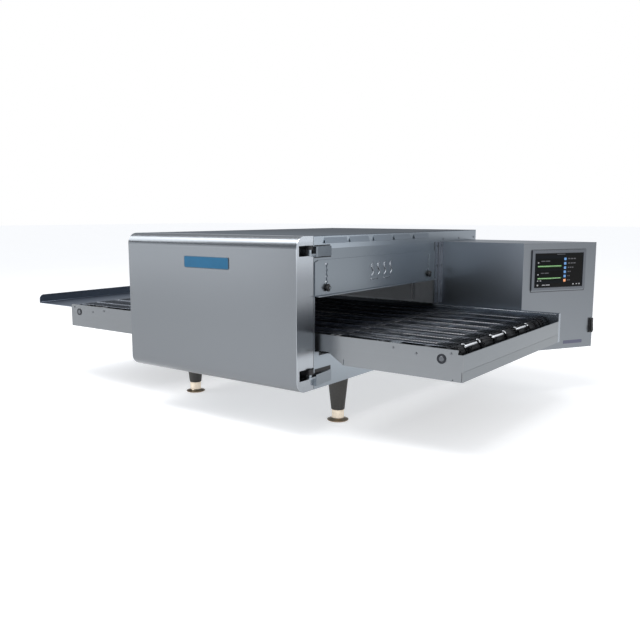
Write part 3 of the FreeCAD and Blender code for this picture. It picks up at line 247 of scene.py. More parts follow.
def steel(name, col, rough=0.30, grain="X", streak=0.05, cloud=0.05, bumpy=0.08, zones=(), edge=None):
    m, n, l, b = material(name)
    g1, g2 = GRAIN[grain]
    s1 = noise(n, l, g1, 5.0, 0.7)
    s2 = noise(n, l, g2, 2.0, 0.5)
    cl = noise(n, l, (3.1, 3.1, 3.1), 3.0, 0.5, offset=(1.3, 4.1, 2.2))
    c = ramp(n, l, s1, [(0.30, tint(col, 1 - streak)), (0.5, col), (0.70, tint(col, 1 + streak))])
    c2 = ramp(n, l, cl, [(0.3, (1 - cloud,) * 3), (0.7, (1.0, 1.0, 1.0))])
    c = mix(n, l, "MULTIPLY", 1.0, c, c2)
    for z in zones:
        c = zone(n, l, c, *z)
    l.new(c, b.inputs["Base Color"])
    b.inputs["Metallic"].default_value = 1.0
    # edge: a zone laid on the specular tint, which on a metal colours its grazing reflection; it paints shade onto
    # that reflection.
    if edge is not None:
        l.new(zone(n, l, (1.0, 1.0, 1.0), *edge), b.inputs["Specular Tint"])
    l.new(remap(n, l, s2, rough - 0.012, rough + 0.016), b.inputs["Roughness"])
    bump(n, l, b, s2, bumpy, 0.0004)
    return m


def coat(name, col, rough=0.5, metallic=0.0, scale=120.0, var=0.12, bumpy=0.15, dist=0.0003, spec=None, clear=None, zones=()):
    m, n, l, b = material(name)
    s1 = noise(n, l, (scale,) * 3, 4.0, 0.6)
    s2 = noise(n, l, (scale * 9,) * 3, 2.0, 0.5)
    cl = noise(n, l, (7.0,) * 3, 3.0, 0.5)
    c = ramp(n, l, s1, [(0.3, tint(col, 1 - var)), (0.7, tint(col, 1 + var))])
    c = mix(n, l, "MULTIPLY", 1.0, c, ramp(n, l, cl, [(0.3, (1 - var * 0.6,) * 3), (0.7, (1.0, 1.0, 1.0))]))
    for z in zones:
        c = zone(n, l, c, *z)
    l.new(c, b.inputs["Base Color"])
    b.inputs["Metallic"].default_value = metallic
    if spec is not None:
        b.inputs["Specular IOR Level"].default_value = spec
    if clear is not None:
        b.inputs["Coat Weight"].default_value = clear
        b.inputs["Coat Roughness"].default_value = 0.08
    l.new(remap(n, l, s1, max(0.02, rough - 0.06), min(1.0, rough + 0.08)), b.inputs["Roughness"])
    bump(n, l, b, s2, bumpy, dist)
    return m


def glow(name, col, strength):
    m, n, l, b = material(name)
    s = noise(n, l, (900,) * 3, 2.0, 0.5)
    c = ramp(n, l, s, [(0.35, tint(col, 0.82)), (0.65, col)])
    l.new(c, b.inputs["Base Color"])
    l.new(c, b.inputs["Emission Color"])
    b.inputs["Emission Strength"].default_value = strength
    b.inputs["Roughness"].default_value = 0.25
    b.inputs["Specular IOR Level"].default_value = 0.05
    return m


M = {}
BASE = (0.285, 0.318, 0.350)
XSIDE = (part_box("side_panel_right")[1].x)      # outer plane of the right side
YBOX = P(0, 201.3, 0).y                        # front face of the control box
XBOX = P(501.7, 0, 0).x                        # where its angled face begins
# Door steel with painted light: lighter towards its right end, a painted highlight on the top bullnose above Z 0.416,
# and its right end face painted much lighter, most at its top.
M["door"] = steel("SteelDoor", (0.163, 0.173, 0.185), 0.25, "Z", 0.008, 0.03, 0.005, zones=[
    ("X", -0.19, 0.30, 0.94, 1.07),
    ("Z", 0.416, 0.424, 1.0, 1.22),
    ("Z", 0.16, 0.32, 2.35, 1.76, (("X", 0.3355, 0.3368),)),
    ("Z", 0.33, 0.41, 1.0, 1.9, (("X", 0.3355, 0.3368),)),
])
# Side panel steel with painted light: lighter below Z 0.13 and lighter towards the back.
M["side"] = steel("SteelSide", tint(BASE, 0.96), 0.28, "Y", 0.004, 0.02, 0.002, zones=[
    ("Z", 0.13, 0.22, 1.22, 1.0),
    ("Y", -0.34, 0.02, 1.0, (1.22, 1.22, 1.22)),
    ("Y", 0.00, 0.17, 1.0, (1.18, 1.16, 1.12)),
])
# Top cover steel with painted shade: its upper face darker, the cover lighter at the front and darker at the back, and
# the grazing reflection on its upper face dimmed through the edge tint.
M["top"] = steel("SteelTop", tint(BASE, 1.32), 0.30, "Y", 0.014, 0.04, 0.008, zones=[
    ("Z", 0.4306, 0.4318, 1.0, (0.46, 0.472, 0.49)),
    ("Y", -0.32, 0.05, 1.30, 0.82),
], edge=("Z", 0.4306, 0.4318, 1.0, (0.235, 0.243, 0.258)))
M["post"] = steel("SteelPost", (0.32, 0.342, 0.378), 0.27, "Z", 0.014, 0.04, 0.008)
# Control box steel with painted shade and reflection: darker low down near the oven body, and its front face painted
# lighter towards the top.
M["box"] = steel("SteelBox", (0.212, 0.227, 0.244), 0.30, "Z", 0.003, 0.03, 0.002, zones=[
    ("X", 0.335, 0.43, 0.80, 1.0, (("Z", 0.34, 0.26),)),
    ("Z", 0.24, 0.40, (1.00, 1.03, 1.08), (1.27, 1.31, 1.38), (("Y", YBOX + 0.0012, YBOX + 0.0002), ("X", XBOX + 0.0006, XBOX - 0.0002))),
])
M["plain"] = steel("SteelPlain", tint(BASE, 0.95), 0.30, "X", 0.04, 0.05, 0.04)
M["liner"] = coat("SteelLiner", (0.34, 0.355, 0.375), 0.50, 0.35, 60, 0.06, 0.04)
# Front rail steel: painted shade darkens it to the left of the oven body.
M["rail"] = steel("SteelRail", (0.209, 0.220, 0.231), 0.28, "X", 0.012, 0.04, 0.008, zones=[
    ("X", -0.20, -0.19, 0.80, 1.0),
])
M["endplate"] = steel("SteelEndPlate", (0.186, 0.202, 0.216), 0.30, "Y", 0.012, 0.04, 0.008)
# Rear rail steel with painted shade: very dark inside the oven and darker on its right end face.
M["railrear"] = steel("SteelRailRear", (0.40, 0.45, 0.51), 0.26, "X", 0.02, 0.04, 0.01, zones=[
    ("X", 0.325, 0.345, 0.10, 1.0, (("X", -0.25, -0.20),)),
    ("X", 0.674, 0.680, 1.0, 0.40),
])
M["tray"] = steel("SteelTray", (0.150, 0.175, 0.218), 0.36, "X", 0.05, 0.06, 0.04)
# Crumb tray steel with painted shade: everything but the end panels painted very dark.
M["crumb"] = steel("SteelCrumb", (0.170, 0.186, 0.198), 0.30, "Y", 0.014, 0.06, 0.010, zones=[
    ("X", 0.674, 0.6755, (0.10, 0.10, 0.11), 1.0, (("X", -0.5420, -0.5405),)),
])
M["rod"] = steel("RackSteel", (0.24, 0.25, 0.27), 0.30, "X", 0.15, 0.10, 0.10)
# Shaft steel: painted shade darkens its front end, past Y -0.370, against the light it catches.
M["shaft"] = steel("ShaftSteel", (0.42, 0.43, 0.45), 0.25, "Y", 0.08, 0.05, 0.10, zones=[
    ("Y", -0.3700, -0.3692, (0.26, 0.27, 0.28), 1.0),
])
M["bush"] = steel("BushSteel", (0.036, 0.038, 0.043), 0.30, "Y", 0.08, 0.05, 0.10)
M["wheel"] = steel("WheelSteel", (0.28, 0.28, 0.29), 0.38, "X", 0.10, 0.10, 0.10)
M["element"] = coat("ElementSheath", (0.12, 0.09, 0.08), 0.6, 0.7, 300, 0.25, 0.3)
M["ceramic"] = coat("Ceramic", (0.28, 0.29, 0.305), 0.85, 0.0, 400, 0.08, 0.2)
M["wool"] = coat("MineralWool", (0.72, 0.68, 0.55), 0.95, 0.0, 260, 0.20, 0.7, 0.002)
M["rubber"] = coat("GasketRubber", (0.03, 0.03, 0.03), 0.75, 0.0, 500, 0.20, 0.3)
M["sleeve"] = coat("LegSleeve", (0.040, 0.038, 0.034), 0.55, 0.0, 240, 0.18, 0.25)
M["nickel"] = coat("FootNickel", (0.60, 0.52, 0.42), 0.30, 0.9, 180, 0.08, 0.08, zones=[
    ("Z", 0.0060, 0.0075, (0.62, 0.56, 0.50), (1.62, 1.62, 1.62)),
])
M["plastic"] = coat("BlackPlastic", (0.012, 0.012, 0.013), 0.42, 0.0, 420, 0.25, 0.25)
M["lug"] = coat("BlackenedSteel", (0.018, 0.018, 0.020), 0.38, 0.4, 260, 0.25, 0.2)
M["circuit"] = coat("Circuit", (0.03, 0.16, 0.07), 0.5, 0.0, 350, 0.25, 0.4)
M["motor"] = coat("MotorCasting", (0.16, 0.17, 0.18), 0.55, 0.6, 260, 0.18, 0.35)
M["bezel"] = steel("BezelSteel", (0.150, 0.160, 0.178), 0.30, "X", 0.02, 0.04, 0.02)
M["line"] = coat("ShadowLine", (0.020, 0.022, 0.026), 0.6, 0.0, 300, 0.10, 0.1)
M["mark"] = steel("PressedMark", (0.37, 0.395, 0.425), 0.26, "X", 0.02, 0.04, 0.02)
M["hem"] = steel("HemSteel", (0.62, 0.65, 0.69), 0.24, "X", 0.04, 0.04, 0.03)
M["badge"] = coat("BadgeEnamel", (0.012, 0.100, 0.200), 0.40, 0.0, 60, 0.05, 0.02, spec=0.18)
M["badgerim"] = steel("BadgeRim", (0.060, 0.085, 0.110), 0.28, "X", 0.04, 0.04, 0.03)
M["label"] = coat("LabelFilm", (0.095, 0.097, 0.145), 0.45, 0.2, 300, 0.06, 0.05)
# Belt wire with painted shade: darker at the left end, dark round the drive end, very dark inside and beside the oven,
# nearly black on the lower run, and darker towards the back.
M["belt"] = steel("BeltWire", (0.35, 0.38, 0.43), 0.30, "Y", 0.30, 0.30, 0.06, zones=[
    ("X", -0.36, -0.30, 0.62, 1.0),
    ("X", 0.612, 0.636, 1.0, 0.22),
    ("X", 0.41, 0.47, (0.10, 0.11, 0.14), 1.0, (("X", -0.30, -0.20),)),
    ("Z", 0.2195, 0.2240, 0.06, 1.0, (("X", -0.30, -0.20),)),
    ("Y", -0.26, 0.06, 1.0, (0.20, 0.225, 0.27), (("X", -0.30, -0.20),)),
])
# Belt joint loops with painted shade, as on the belt wire: darker at the left end and round the drive end, darker
# inside and near the oven and towards the back, nearly black on the lower run.
M["beltjoint"] = steel("BeltJoint", (0.21, 0.225, 0.25), 0.28, "X", 0.40, 0.30, 0.06, zones=[
    ("X", -0.36, -0.30, 0.35, 1.0),
    ("X", 0.612, 0.636, 1.0, 0.22),
    ("Y", -0.16, 0.10, 1.0, 0.55, (("X", -0.30, -0.20),)),
    ("X", 0.36, 0.44, (0.35, 0.36, 0.40), 1.0, (("X", -0.30, -0.20),)),
    ("Z", 0.2195, 0.2240, 0.08, 1.0, (("X", -0.30, -0.20),)),
])
M["rodlit"] = steel("RackRodLit", (0.30, 0.30, 0.31), 0.26, "X", 0.10, 0.06, 0.05)
M["bar"] = coat("JoinerBarGlint", (0.80, 0.82, 0.85), 0.26, 0.25, 160, 0.03, 0.03)
M["screw"] = steel("ScrewSteel", (0.165, 0.174, 0.186), 0.32, "Z", 0.08, 0.05, 0.05, zones=[
    ("Z", 0.400, 0.405, 1.0, 1.75, (("X", 0.330, 0.334),)),
])

# Cover glass of the display.
m, n, l, b = material("ScreenGlass")
s = noise(n, l, (5, 5, 5), 2.0, 0.5)
l.new(ramp(n, l, s, [(0.3, (0.004, 0.005, 0.006)), (0.7, (0.010, 0.012, 0.015))]), b.inputs["Base Color"])
l.new(remap(n, l, s, 0.05, 0.12), b.inputs["Roughness"])
b.inputs["Specular IOR Level"].default_value = 0.06
M["glass"] = m

USE = {
    "door": ["door_skin"],
    "side": ["side_panel_right", "side_panel_left", "baffle_right", "baffle_left"],
    "post": ["side_post_right"],
    "top": ["top_cover"],
    "box": ["control_box_housing"],
    "plain": ["base_pan", "back_panel", "door_inner_panel", "control_box_base", "hinge_brackets", "door_magnets"],
    "liner": ["chamber_liner", "jet_plates", "air_plenums", "blower_housings"],
    "rail": ["conveyor_rail_front"],
    "endplate": ["conveyor_end_plates"],
    "railrear": ["conveyor_rail_rear"],
    "crumb": ["crumb_tray_right", "crumb_tray_left"],
    "tray": ["landing_tray"],
    "rodlit": ["belt_support_rack"],
    "rod": ["drive_chain"],
    "belt": ["conveyor_belt"],
    "shaft": ["drive_shaft", "idler_shaft", "gearmotor_output_shaft"],
    "bush": ["shaft_bushes"],
    "screw": ["panel_screws"],
    "wheel": ["blower_wheel_left", "blower_wheel_right"],
    "element": ["heater_element"],
    "ceramic": ["catalyst_block"],
    "wool": ["insulation_blanket", "door_insulation"],
    "rubber": ["door_gasket"],
    "sleeve": ["leg_sleeves"],
    "nickel": ["foot_front_right", "foot_front_left", "foot_rear_right", "foot_rear_left"],
    "plastic": [
        "knob_right_front", "knob_right_rear", "knob_left_front", "knob_left_rear", "power_switch_bezel",
        "power_rocker", "cooling_fan_frame", "cooling_fan_rotor", "cord_gland",
    ],
    "bezel": ["screen_bezel"],
    "lug": ["door_hinge_lugs"],
    "glass": ["touch_screen"],
    "badge": ["door_nameplate"],
    "circuit": ["control_electronics"],
    "motor": ["blower_motors", "gearmotor"],
}
for key, names in USE.items():
    for name in names:
        o = nodes[name]
        o.data.materials.clear()
        o.data.materials.append(M[key])


# ------------------------------------------------------------------ mesh helpers
def add_mesh(name, verts, faces, mat, body="root", smooth=True, replaces=(), mats=None, index=None):
    me = bpy.data.meshes.new(name)
    me.from_pydata([tuple(v) for v in verts], [], [tuple(f) for f in faces])
    me.update()
    for x in mats or [mat]:
        me.materials.append(x)
    me.polygons.foreach_set("use_smooth", [smooth] * len(me.polygons))
    if index is not None:
        me.polygons.foreach_set("material_index", index)
    o = bpy.data.objects.new(name, me)
    scene.collection.objects.link(o)
    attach(o, body)
    if replaces:
        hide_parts(*replaces)
    return o


class Build:
    """Collects quads and triangles of one piece."""

    def __init__(self):
        self.v, self.f, self.k = [], [], 0

    def add(self, verts, faces):
        self.v.append(np.asarray(verts, float))
        self.f += [[i + self.k for i in f] for f in faces]
        self.k += len(verts)

    def verts(self):
        return np.concatenate(self.v)


def tube_rings(path, radius, sides, up=(0, 0, 1), closed=False):
    """Vertices and faces of a tube that follows path (N x 3, metres)."""
    p = np.asarray(path, float)
    n = len(p)
    if closed:
        t = np.roll(p, -1, 0) - np.roll(p, 1, 0)
    else:
        t = np.gradient(p, axis=0)
    t /= np.linalg.norm(t, axis=1)[:, None] + 1e-12
    u = np.cross(t, np.asarray(up, float))
    bad = np.linalg.norm(u, axis=1) < 1e-3
    u[bad] = np.cross(t[bad], (1.0, 0.0, 0.0))
    u /= np.linalg.norm(u, axis=1)[:, None]
    w = np.cross(u, t)
    r = np.broadcast_to(np.asarray(radius, float), (n,))
    a = np.linspace(0, 2 * np.pi, sides, endpoint=False)
    ring = p[:, None, :] + r[:, None, None] * (
        np.cos(a)[None, :, None] * u[:, None, :] + np.sin(a)[None, :, None] * w[:, None, :]
    )
    v = ring.reshape(-1, 3)
    f = []
    last = n if closed else n - 1
    for i in range(last):
        j = (i + 1) % n
        for k in range(sides):
            k2 = (k + 1) % sides
            f.append([i * sides + k, i * sides + k2, j * sides + k2, j * sides + k])
    if not closed:
        f.append(list(range(sides))[::-1])
        f.append([(n - 1) * sides + k for k in range(sides)])
    return v, f


def lathe(profile, axis_o, axis_d, sides=48):
    """Solid of revolution: profile is (distance along axis, radius) in metres."""
    d = Vector(axis_d).normalized()
    a = d.orthogonal().normalized()
    c = d.cross(a)
    v, f = [], []
    for h, r in profile:
        for k in range(sides):
            t = 2 * math.pi * k / sides
            v.append(Vector(axis_o) + d * h + (a * math.cos(t) + c * math.sin(t)) * r)
    for i in range(len(profile) - 1):
        for k in range(sides):
            k2 = (k + 1) % sides
            f.append([i * sides + k, i * sides + k2, (i + 1) * sides + k2, (i + 1) * sides + k])
    f.append(list(range(sides))[::-1])
    f.append([(len(profile) - 1) * sides + k for k in range(sides)])
    return [tuple(x) for x in v], f


def flat_block(origin, ax, ay, az, x0, x1, y0, y1, z0, z1, r=0.0, seg=5, edge=0.0):
    """Block with rounded corners in its x-y plane and an optional chamfer on its +z edge.
    origin and the axes are Vectors in metres; the extents are metres along them."""
    pts = []
    if r > 0:
        for cx, cy, a0 in ((x1 - r, y1 - r, 0), (x0 + r, y1 - r, 90), (x0 + r, y0 + r, 180), (x1 - r, y0 + r, 270)):
            for i in range(seg + 1):
                t = math.radians(a0 + 90 * i / seg)
                pts.append((cx + r * math.cos(t), cy + r * math.sin(t)))
    else:
        pts = [(x1, y1), (x0, y1), (x0, y0), (x1, y0)]
    n = len(pts)
    cx, cy = (x0 + x1) / 2, (y0 + y1) / 2

    def ring(z, inset):
        out = []
        for px, py in pts:
            hx, hy = (x1 - x0) / 2, (y1 - y0) / 2
            sx, sy = (hx - inset) / hx, (hy - inset) / hy
            out.append(origin + ax * (cx + (px - cx) * sx) + ay * (cy + (py - cy) * sy) + az * z)
        return out

    rings = [ring(z0, 0.0), ring(z1 - edge, 0.0)] + ([ring(z1, edge)] if edge > 0 else [])
    v = [tuple(p) for g in rings for p in g]
    f = []
    for i in range(len(rings) - 1):
        for k in range(n):
            k2 = (k + 1) % n
            f.append([i * n + k, i * n + k2, (i + 1) * n + k2, (i + 1) * n + k])
    f.append(list(range(n))[::-1])
    f.append([(len(rings) - 1) * n + k for k in range(n)])
    return v, f


# ------------------------------------------------------------------ floor
floor_mat, n, l, b = material("Floor")
s = noise(n, l, (2, 2, 2), 3.0, 0.5)
l.new(ramp(n, l, s, [(0.3, (0.60, 0.603, 0.606)), (0.7, (0.62, 0.623, 0.626))]), b.inputs["Base Color"])
b.inputs["Roughness"].default_value = 0.9
b.inputs["Specular IOR Level"].default_value = 0.1
b.inputs["Emission Color"].default_value = (0.985, 0.99, 1.0, 1)
b.inputs["Emission Strength"].default_value = 0.56
fm = bpy.data.meshes.new("Floor")
fm.from_pydata([(-30, -30, -0.0004), (30, -30, -0.0004), (30, 30, -0.0004), (-30, 30, -0.0004)], [], [(0, 1, 2, 3)])
fm.materials.append(floor_mat)
floor = bpy.data.objects.new("Floor", fm)
scene.collection.objects.link(floor)
floor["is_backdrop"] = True

# ------------------------------------------------------------------ belt
XD, XI, ZS = 559.6, -581.2, 202.7
R_BELT = 22.2
RUN = XD - XI


def on_loop(s, r=R_BELT):
    """Point (x, z) at length s along the loop whose upper run starts above the idler shaft."""
    turn = math.pi * r
    total = 2 * RUN + 2 * turn
    s = s % total
    if s < RUN:
        return XI + s, ZS + r, 0.0, 1.0
    s -= RUN
    if s < turn:
        a = math.pi / 2 - s / r
        return XD + r * math.cos(a), ZS + r * math.sin(a), math.cos(a), math.sin(a)
    s -= turn
    if s < RUN:
        return XD - s, ZS - r, 0.0, -1.0
    s -= RUN
    a = -math.pi / 2 - s / r
    return XI + r * math.cos(a), ZS + r * math.sin(a), math.cos(a), math.sin(a)


belt_joints = [-297.0, -227.6, -158.2, -91.0, -19.4, 50.0, 119.4]
total = 2 * RUN + 2 * math.pi * R_BELT
count = int(round(total / 6.35))
pitch = total / count
wire = 0.60
shape = [(-349.3, 0.0, 0.0), (-348.6, 0.98, 0.35), (-346.4, 0.98, 0.35), (-345.7, 0.0, 0.0)]
for y in belt_joints:
    shape += [(y - 1.4, 0.0, 0.0), (y - 0.8, 0.98, 0.2), (y + 0.8, 0.98, 0.2), (y + 1.4, 0.0, 0.0)]
shape += [(173.4, 0.0, 0.0), (174.2, 0.98, 0.35), (176.6, 0.98, 0.35), (177.3, 0.0, 0.0)]
b_ = Build()
for i in range(count):
    s0 = i * pitch
    pts = []
    for y, ds, lift in shape:
        x, z, nx, nz = on_loop(s0 + ds * pitch)
        pts.append(P(x + nx * (lift - 0.2), y, z + nz * (lift - 0.2)))
    x, z, nx, nz = on_loop(s0)
    v, f = tube_rings([tuple(p) for p in pts], wire / 1000, 5, up=(nx, 0.01, nz))
    b_.add(v, f)
belt = add_mesh("belt_mesh", b_.verts(), b_.f, M["belt"], "root", True, ["conveyor_belt"])

# Joint loops of the belt: a short doubled wire at every strand of each column.
b_ = Build()
for y in belt_joints:
    for i in range(0, count, 2):
        pts = []
        for ds, lift, dy in ((-0.25, 0.0, -0.8), (0.25, 0.75, -0.3), (0.75, 0.75, 0.3), (1.25, 0.0, 0.8)):
            x, z, nx, nz = on_loop((i + ds) * pitch)
            pts.append(tuple(P(x + nx * (lift - 0.1), y + dy, z + nz * (lift - 0.1))))
        v, f = tube_rings(pts, 0.00055, 5, up=(0.0, 1.0, 0.01))
        b_.add(v, f)
add_mesh("belt_joint_loops", b_.verts(), b_.f, M["beltjoint"], "root", True, ())

# Near-white bars across the belt's end loops: joiner wires whose near-white colour paints the highlight the end wires
# catch.
b_ = Build()
for y0, y1 in ((-288, -236), (-153, -99), (-18, 34)):
    for end in (0, 1):
        a = math.radians(45)
        x = XD + 22.0 * math.cos(a) if end == 0 else XI - 22.0 * math.cos(a)
        z = ZS + 22.0 * math.sin(a)
        v, f = lathe(
            [(0, 0.0003), (0.0006, 0.0019), (0.0018, 0.0024), ((y1 - y0) / 1000 - 0.0018, 0.0024), ((y1 - y0) / 1000 - 0.0006, 0.0019), ((y1 - y0) / 1000, 0.0003)],
            P(x, y0, z), (0, 1, 0), 14,
        )
        b_.add(v, f)
add_mesh("belt_joiner_glint_bars", b_.verts(), b_.f, M["bar"], "root", True, ())

# Wire clips that close the belt beside each bar and midway between bars; their near-white colour paints glints.
b_ = Build()
for end in (0, 1):
    for y0, size in ((-293, 1.0), (-224, 0.9), (-157, 0.9), (-88, 0.8), (-22, 0.8), (46, 0.75)):
        pts = []
        for k in range(13):
            t = math.radians(-60 + 300 * k / 12)
            u, w = 5.2 * size * math.cos(t), 4.2 * size * math.sin(t)
            a = math.radians(52) + u / 22.0
            cx = XD + 22.6 * math.cos(a) if end == 0 else XI - 22.6 * math.cos(a)
            pts.append(tuple(P(cx, y0 + w, ZS + 22.6 * math.sin(a))))
        v, f = tube_rings(pts, 0.0008, 8, up=(0.7, 0.01, 0.7))
        b_.add(v, f)
add_mesh("belt_clip_glints", b_.verts(), b_.f, M["bar"], "root", True, ())


def sprocket_profile(teeth, root, tip, w):
    pts = []
    for i in range(teeth):
        a = 2 * math.pi * i / teeth
        for da, r in ((-0.30, root), (-0.13, tip), (0.13, tip), (0.30, root)):
            t = a + da * 2 * math.pi / teeth
            pts.append((r * math.cos(t), r * math.sin(t)))
    return pts


def disc(b_, xc, zc, pts, y0, y1):
    n_ = len(pts)
    v = [P(xc + px, y, zc + pz) for y in (y0, y1) for px, pz in pts]
    f = [[k, n_ + k, n_ + (k + 1) % n_, (k + 1) % n_] for k in range(n_)]
    f.append(list(range(n_)))
    f.append([n_ + k for k in range(n_)][::-1])
    b_.add([tuple(p) for p in v], f)


def ring_cyl(b_, xc, zc, r, y0, y1, sides=36, edge=0.5):
    v, f = lathe(
        [(0, max(0.1, r - edge) / 1000), (edge / 1000, r / 1000), ((y1 - y0 - edge) / 1000, r / 1000), ((y1 - y0) / 1000, max(0.1, r - edge) / 1000)],
        P(xc, y0, zc), (0, 1, 0), sides,
    )
    b_.add(v, f)


SPR_Y = [-318.0, -267.0, -204.0, -140.0, -77.0, -13.0, 50.0, 114.0, 162.0]
for x, body, node_, label, y_end in (
    (XD, "drive_shaft_body", "drive_shaft", "drive", 194.5),
    (XI, "idler_shaft_body", "idler_shaft", "idler", 190.5),
):
    lo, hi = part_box(node_)
    b_ = Build()
    ring_cyl(b_, x, ZS, 6.0, (lo.y - OY) * 1000, (hi.y - OY) * 1000, 28, 0.8)
    if node_ == "drive_shaft":
        disc(b_, x, ZS, sprocket_profile(14, 10.6, 13.0, 4), 187.6, 192.4)
    steel_part = add_mesh(label + "_shaft_bar", b_.verts(), b_.f, M["shaft"], body, False, [node_])
    b_ = Build()
    for y in SPR_Y:
        disc(b_, x, ZS, sprocket_profile(12, 17.6, 20.9, 4), y - 6, y - 2)
        disc(b_, x, ZS, sprocket_profile(12, 17.6, 20.9, 4), y + 2, y + 6)
        ring_cyl(b_, x, ZS, 12.5, y - 8, y + 8)
    add_mesh(label + "_sprockets", b_.verts(), b_.f, M["lug"], body, False, ())
    b_ = Build()
    gaps = [(-349, -326.2)] + [(SPR_Y[i] + 8.2, SPR_Y[i + 1] - 8.2) for i in range(len(SPR_Y) - 1)] + [(170.2, 178)]
    for a, c in gaps:
        ring_cyl(b_, x, ZS, 15.5, a, c, 40, 1.0)
    add_mesh(label + "_spacers", b_.verts(), b_.f, M["plastic"], body, True, ())

# ------------------------------------------------------------------ display, label, nameplate
SL = 0.598236
SEC = math.hypot(1, SL)
CT, ST = SL / SEC, 1 / SEC
FS, FN, FZ = Vector((CT, ST, 0)), Vector((ST, -CT, 0)), Vector((0, 0, 1))
FACE0 = P(501.7, 201.3, 0)


def face_items(name, mat, items, d0, d1, r=0.0, edge=0.0):
    """Thin plates on the control box's angled face: (s0, s1, z0, z1) in mm, from d0 to d1 mm outwards."""
    b_ = Build()
    for s0, s1, z0, z1 in items:
        rr = min(r, (s1 - s0) * 0.45, (z1 - z0) * 0.45) / 1000
        v, f = flat_block(FACE0, FS, FZ, FN, s0 / 1000, s1 / 1000, z0 / 1000, z1 / 1000, d0 / 1000, d1 / 1000, rr, 4, edge / 1000)
        b_.add(v, [list(reversed(q)) for q in f])
    return add_mesh(name, b_.verts(), b_.f, mat, "root", False, ())


def scr(x0, y0, x1, y1):
    """Screen place given as fractions of its width and height, from the top left."""
    return (34.6 + x0 * 157.3, 34.6 + x1 * 157.3, 377.5 - y1 * 89.0, 377.5 - y0 * 89.0)


M["ui_panel"] = glow("UiPanel", (0.0040, 0.0046, 0.0046), 0.5)
M["ui_side"] = glow("UiSide", (0.0065, 0.0065, 0.0065), 0.6)
M["ui_green"] = glow("UiGreen", (0.060, 0.150, 0.045), 0.9)
M["ui_pale"] = glow("UiPale", (0.26, 0.44, 0.24), 0.9)
M["ui_blue"] = glow("UiBlue", (0.09, 0.19, 0.36), 0.9)
M["ui_orange"] = glow("UiOrange", (0.55, 0.24, 0.12), 0.9)
M["ui_grey"] = glow("UiGrey", (0.060, 0.060, 0.065), 0.9)
M["ui_white"] = glow("UiWhite", (0.22, 0.22, 0.23), 0.9)

face_items("screen_panels", M["ui_panel"], [scr(0.04, 0.16, 0.57, 0.47), scr(0.04, 0.51, 0.57, 0.80)], 2.60, 2.70, 1.5)
face_items("screen_side", M["ui_side"], [scr(0.59, 0.07, 0.985, 0.86), scr(0.02, 0.88, 0.985, 0.98), scr(0.02, 0.02, 0.985, 0.055)], 2.60, 2.70, 1.0)
face_items("screen_green", M["ui_green"], [
    scr(0.065, 0.358, 0.560, 0.370), scr(0.065, 0.396, 0.560, 0.404),
    scr(0.065, 0.713, 0.560, 0.725), scr(0.065, 0.750, 0.40, 0.757)], 2.70, 2.80, 0.4)
face_items("screen_bright_line", M["ui_pale"], [scr(0.065, 0.372, 0.540, 0.384), scr(0.065, 0.727, 0.540, 0.739)], 2.70, 2.82, 0.4)
face_items("screen_icons", M["ui_blue"], [scr(0.602, y, 0.648, y + 0.075) for y in (0.140, 0.270, 0.397, 0.520, 0.645)], 2.70, 2.90, 1.2)
face_items("screen_icon_warm", M["ui_orange"], [scr(0.602, 0.770, 0.648, 0.845)], 2.70, 2.90, 1.2)
marks = []
for i, y in enumerate((0.155, 0.285, 0.412, 0.535, 0.660, 0.785)):
    w = (0.16, 0.15, 0.11, 0.09, 0.06, 0.07)[i]
    x = 0.685
    for k in range(3 if w > 0.1 else 2):
        ww = w / 3 * (0.8 + 0.15 * ((i + k) % 2))
        marks.append(scr(x, y, x + ww, y + 0.034))
        x += ww + 0.012
marks += [scr(0.45, 0.027, 0.62, 0.045), scr(0.13, 0.215, 0.21, 0.243), scr(0.225, 0.215, 0.31, 0.243),
          scr(0.13, 0.565, 0.19, 0.592), scr(0.205, 0.565, 0.29, 0.592)]
face_items("screen_marks", M["ui_grey"], marks, 2.70, 2.80, 0.5)
face_items("screen_dots", M["ui_white"], [
    scr(0.060, 0.255, 0.085, 0.290), scr(0.060, 0.600, 0.085, 0.635), scr(0.06, 0.785, 0.082, 0.815), scr(0.11, 0.785, 0.14, 0.812),
    scr(0.055, 0.905, 0.085, 0.950), scr(0.16, 0.915, 0.22, 0.940), scr(0.235, 0.915, 0.32, 0.940),
    scr(0.80, 0.905, 0.825, 0.945), scr(0.87, 0.912, 0.90, 0.940), scr(0.93, 0.905, 0.955, 0.945)], 2.70, 2.84, 0.8)
face_items("screen_surround", M["line"], [(30.4, 35.4, 286.9, 379.2), (33.0, 191.5, 286.9, 289.4), (33.0, 191.5, 376.8, 379.2)], 2.2, 2.66, 0.6, 0.1)
# Thin dark strips round the bezel's outer edge paint its shadow line.
face_items("bezel_shadow_outline", M["line"], [(25.2, 27.2, 278.2, 386.2), (25.2, 201.5, 276.8, 278.2), (25.2, 201.5, 386.2, 387.2), (200.6, 201.6, 278.2, 386.2)], 0.02, 0.55, 0.0, 0.1)
face_items("rating_label", M["label"], [(141, 204, 134.5, 143.5)], 0.05, 0.35, 1.0, 0.1)

# Nameplate: a plain enamel field in a bright rim.
lo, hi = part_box("door_nameplate")
xc, zc = (lo.x + hi.x) / 2, (lo.z + hi.z) / 2
hx, hz = (hi.x - lo.x) / 2, (hi.z - lo.z) / 2 - 0.0018
org = Vector((xc, hi.y, zc))
ax, ay, az = Vector((1, 0, 0)), Vector((0, 0, 1)), Vector((0, -1, 0))
dep = hi.y - lo.y
v, f = flat_block(org, ax, ay, az, -hx, hx, -hz, hz, 0, dep * 0.86, 0.0045, 8, 0.0004)
rim = add_mesh("nameplate_rim", v, [list(reversed(q)) for q in f], M["badgerim"], "door", False, ["door_nameplate"])
v, f = flat_block(org, ax, ay, az, -hx + 0.0016, hx - 0.0016, -hz + 0.0016, hz - 0.0016, dep * 0.5, dep * 0.99, 0.0034, 8, 0.0003)
add_mesh("nameplate_field", v, [list(reversed(q)) for q in f], M["badge"], "door", False, ())

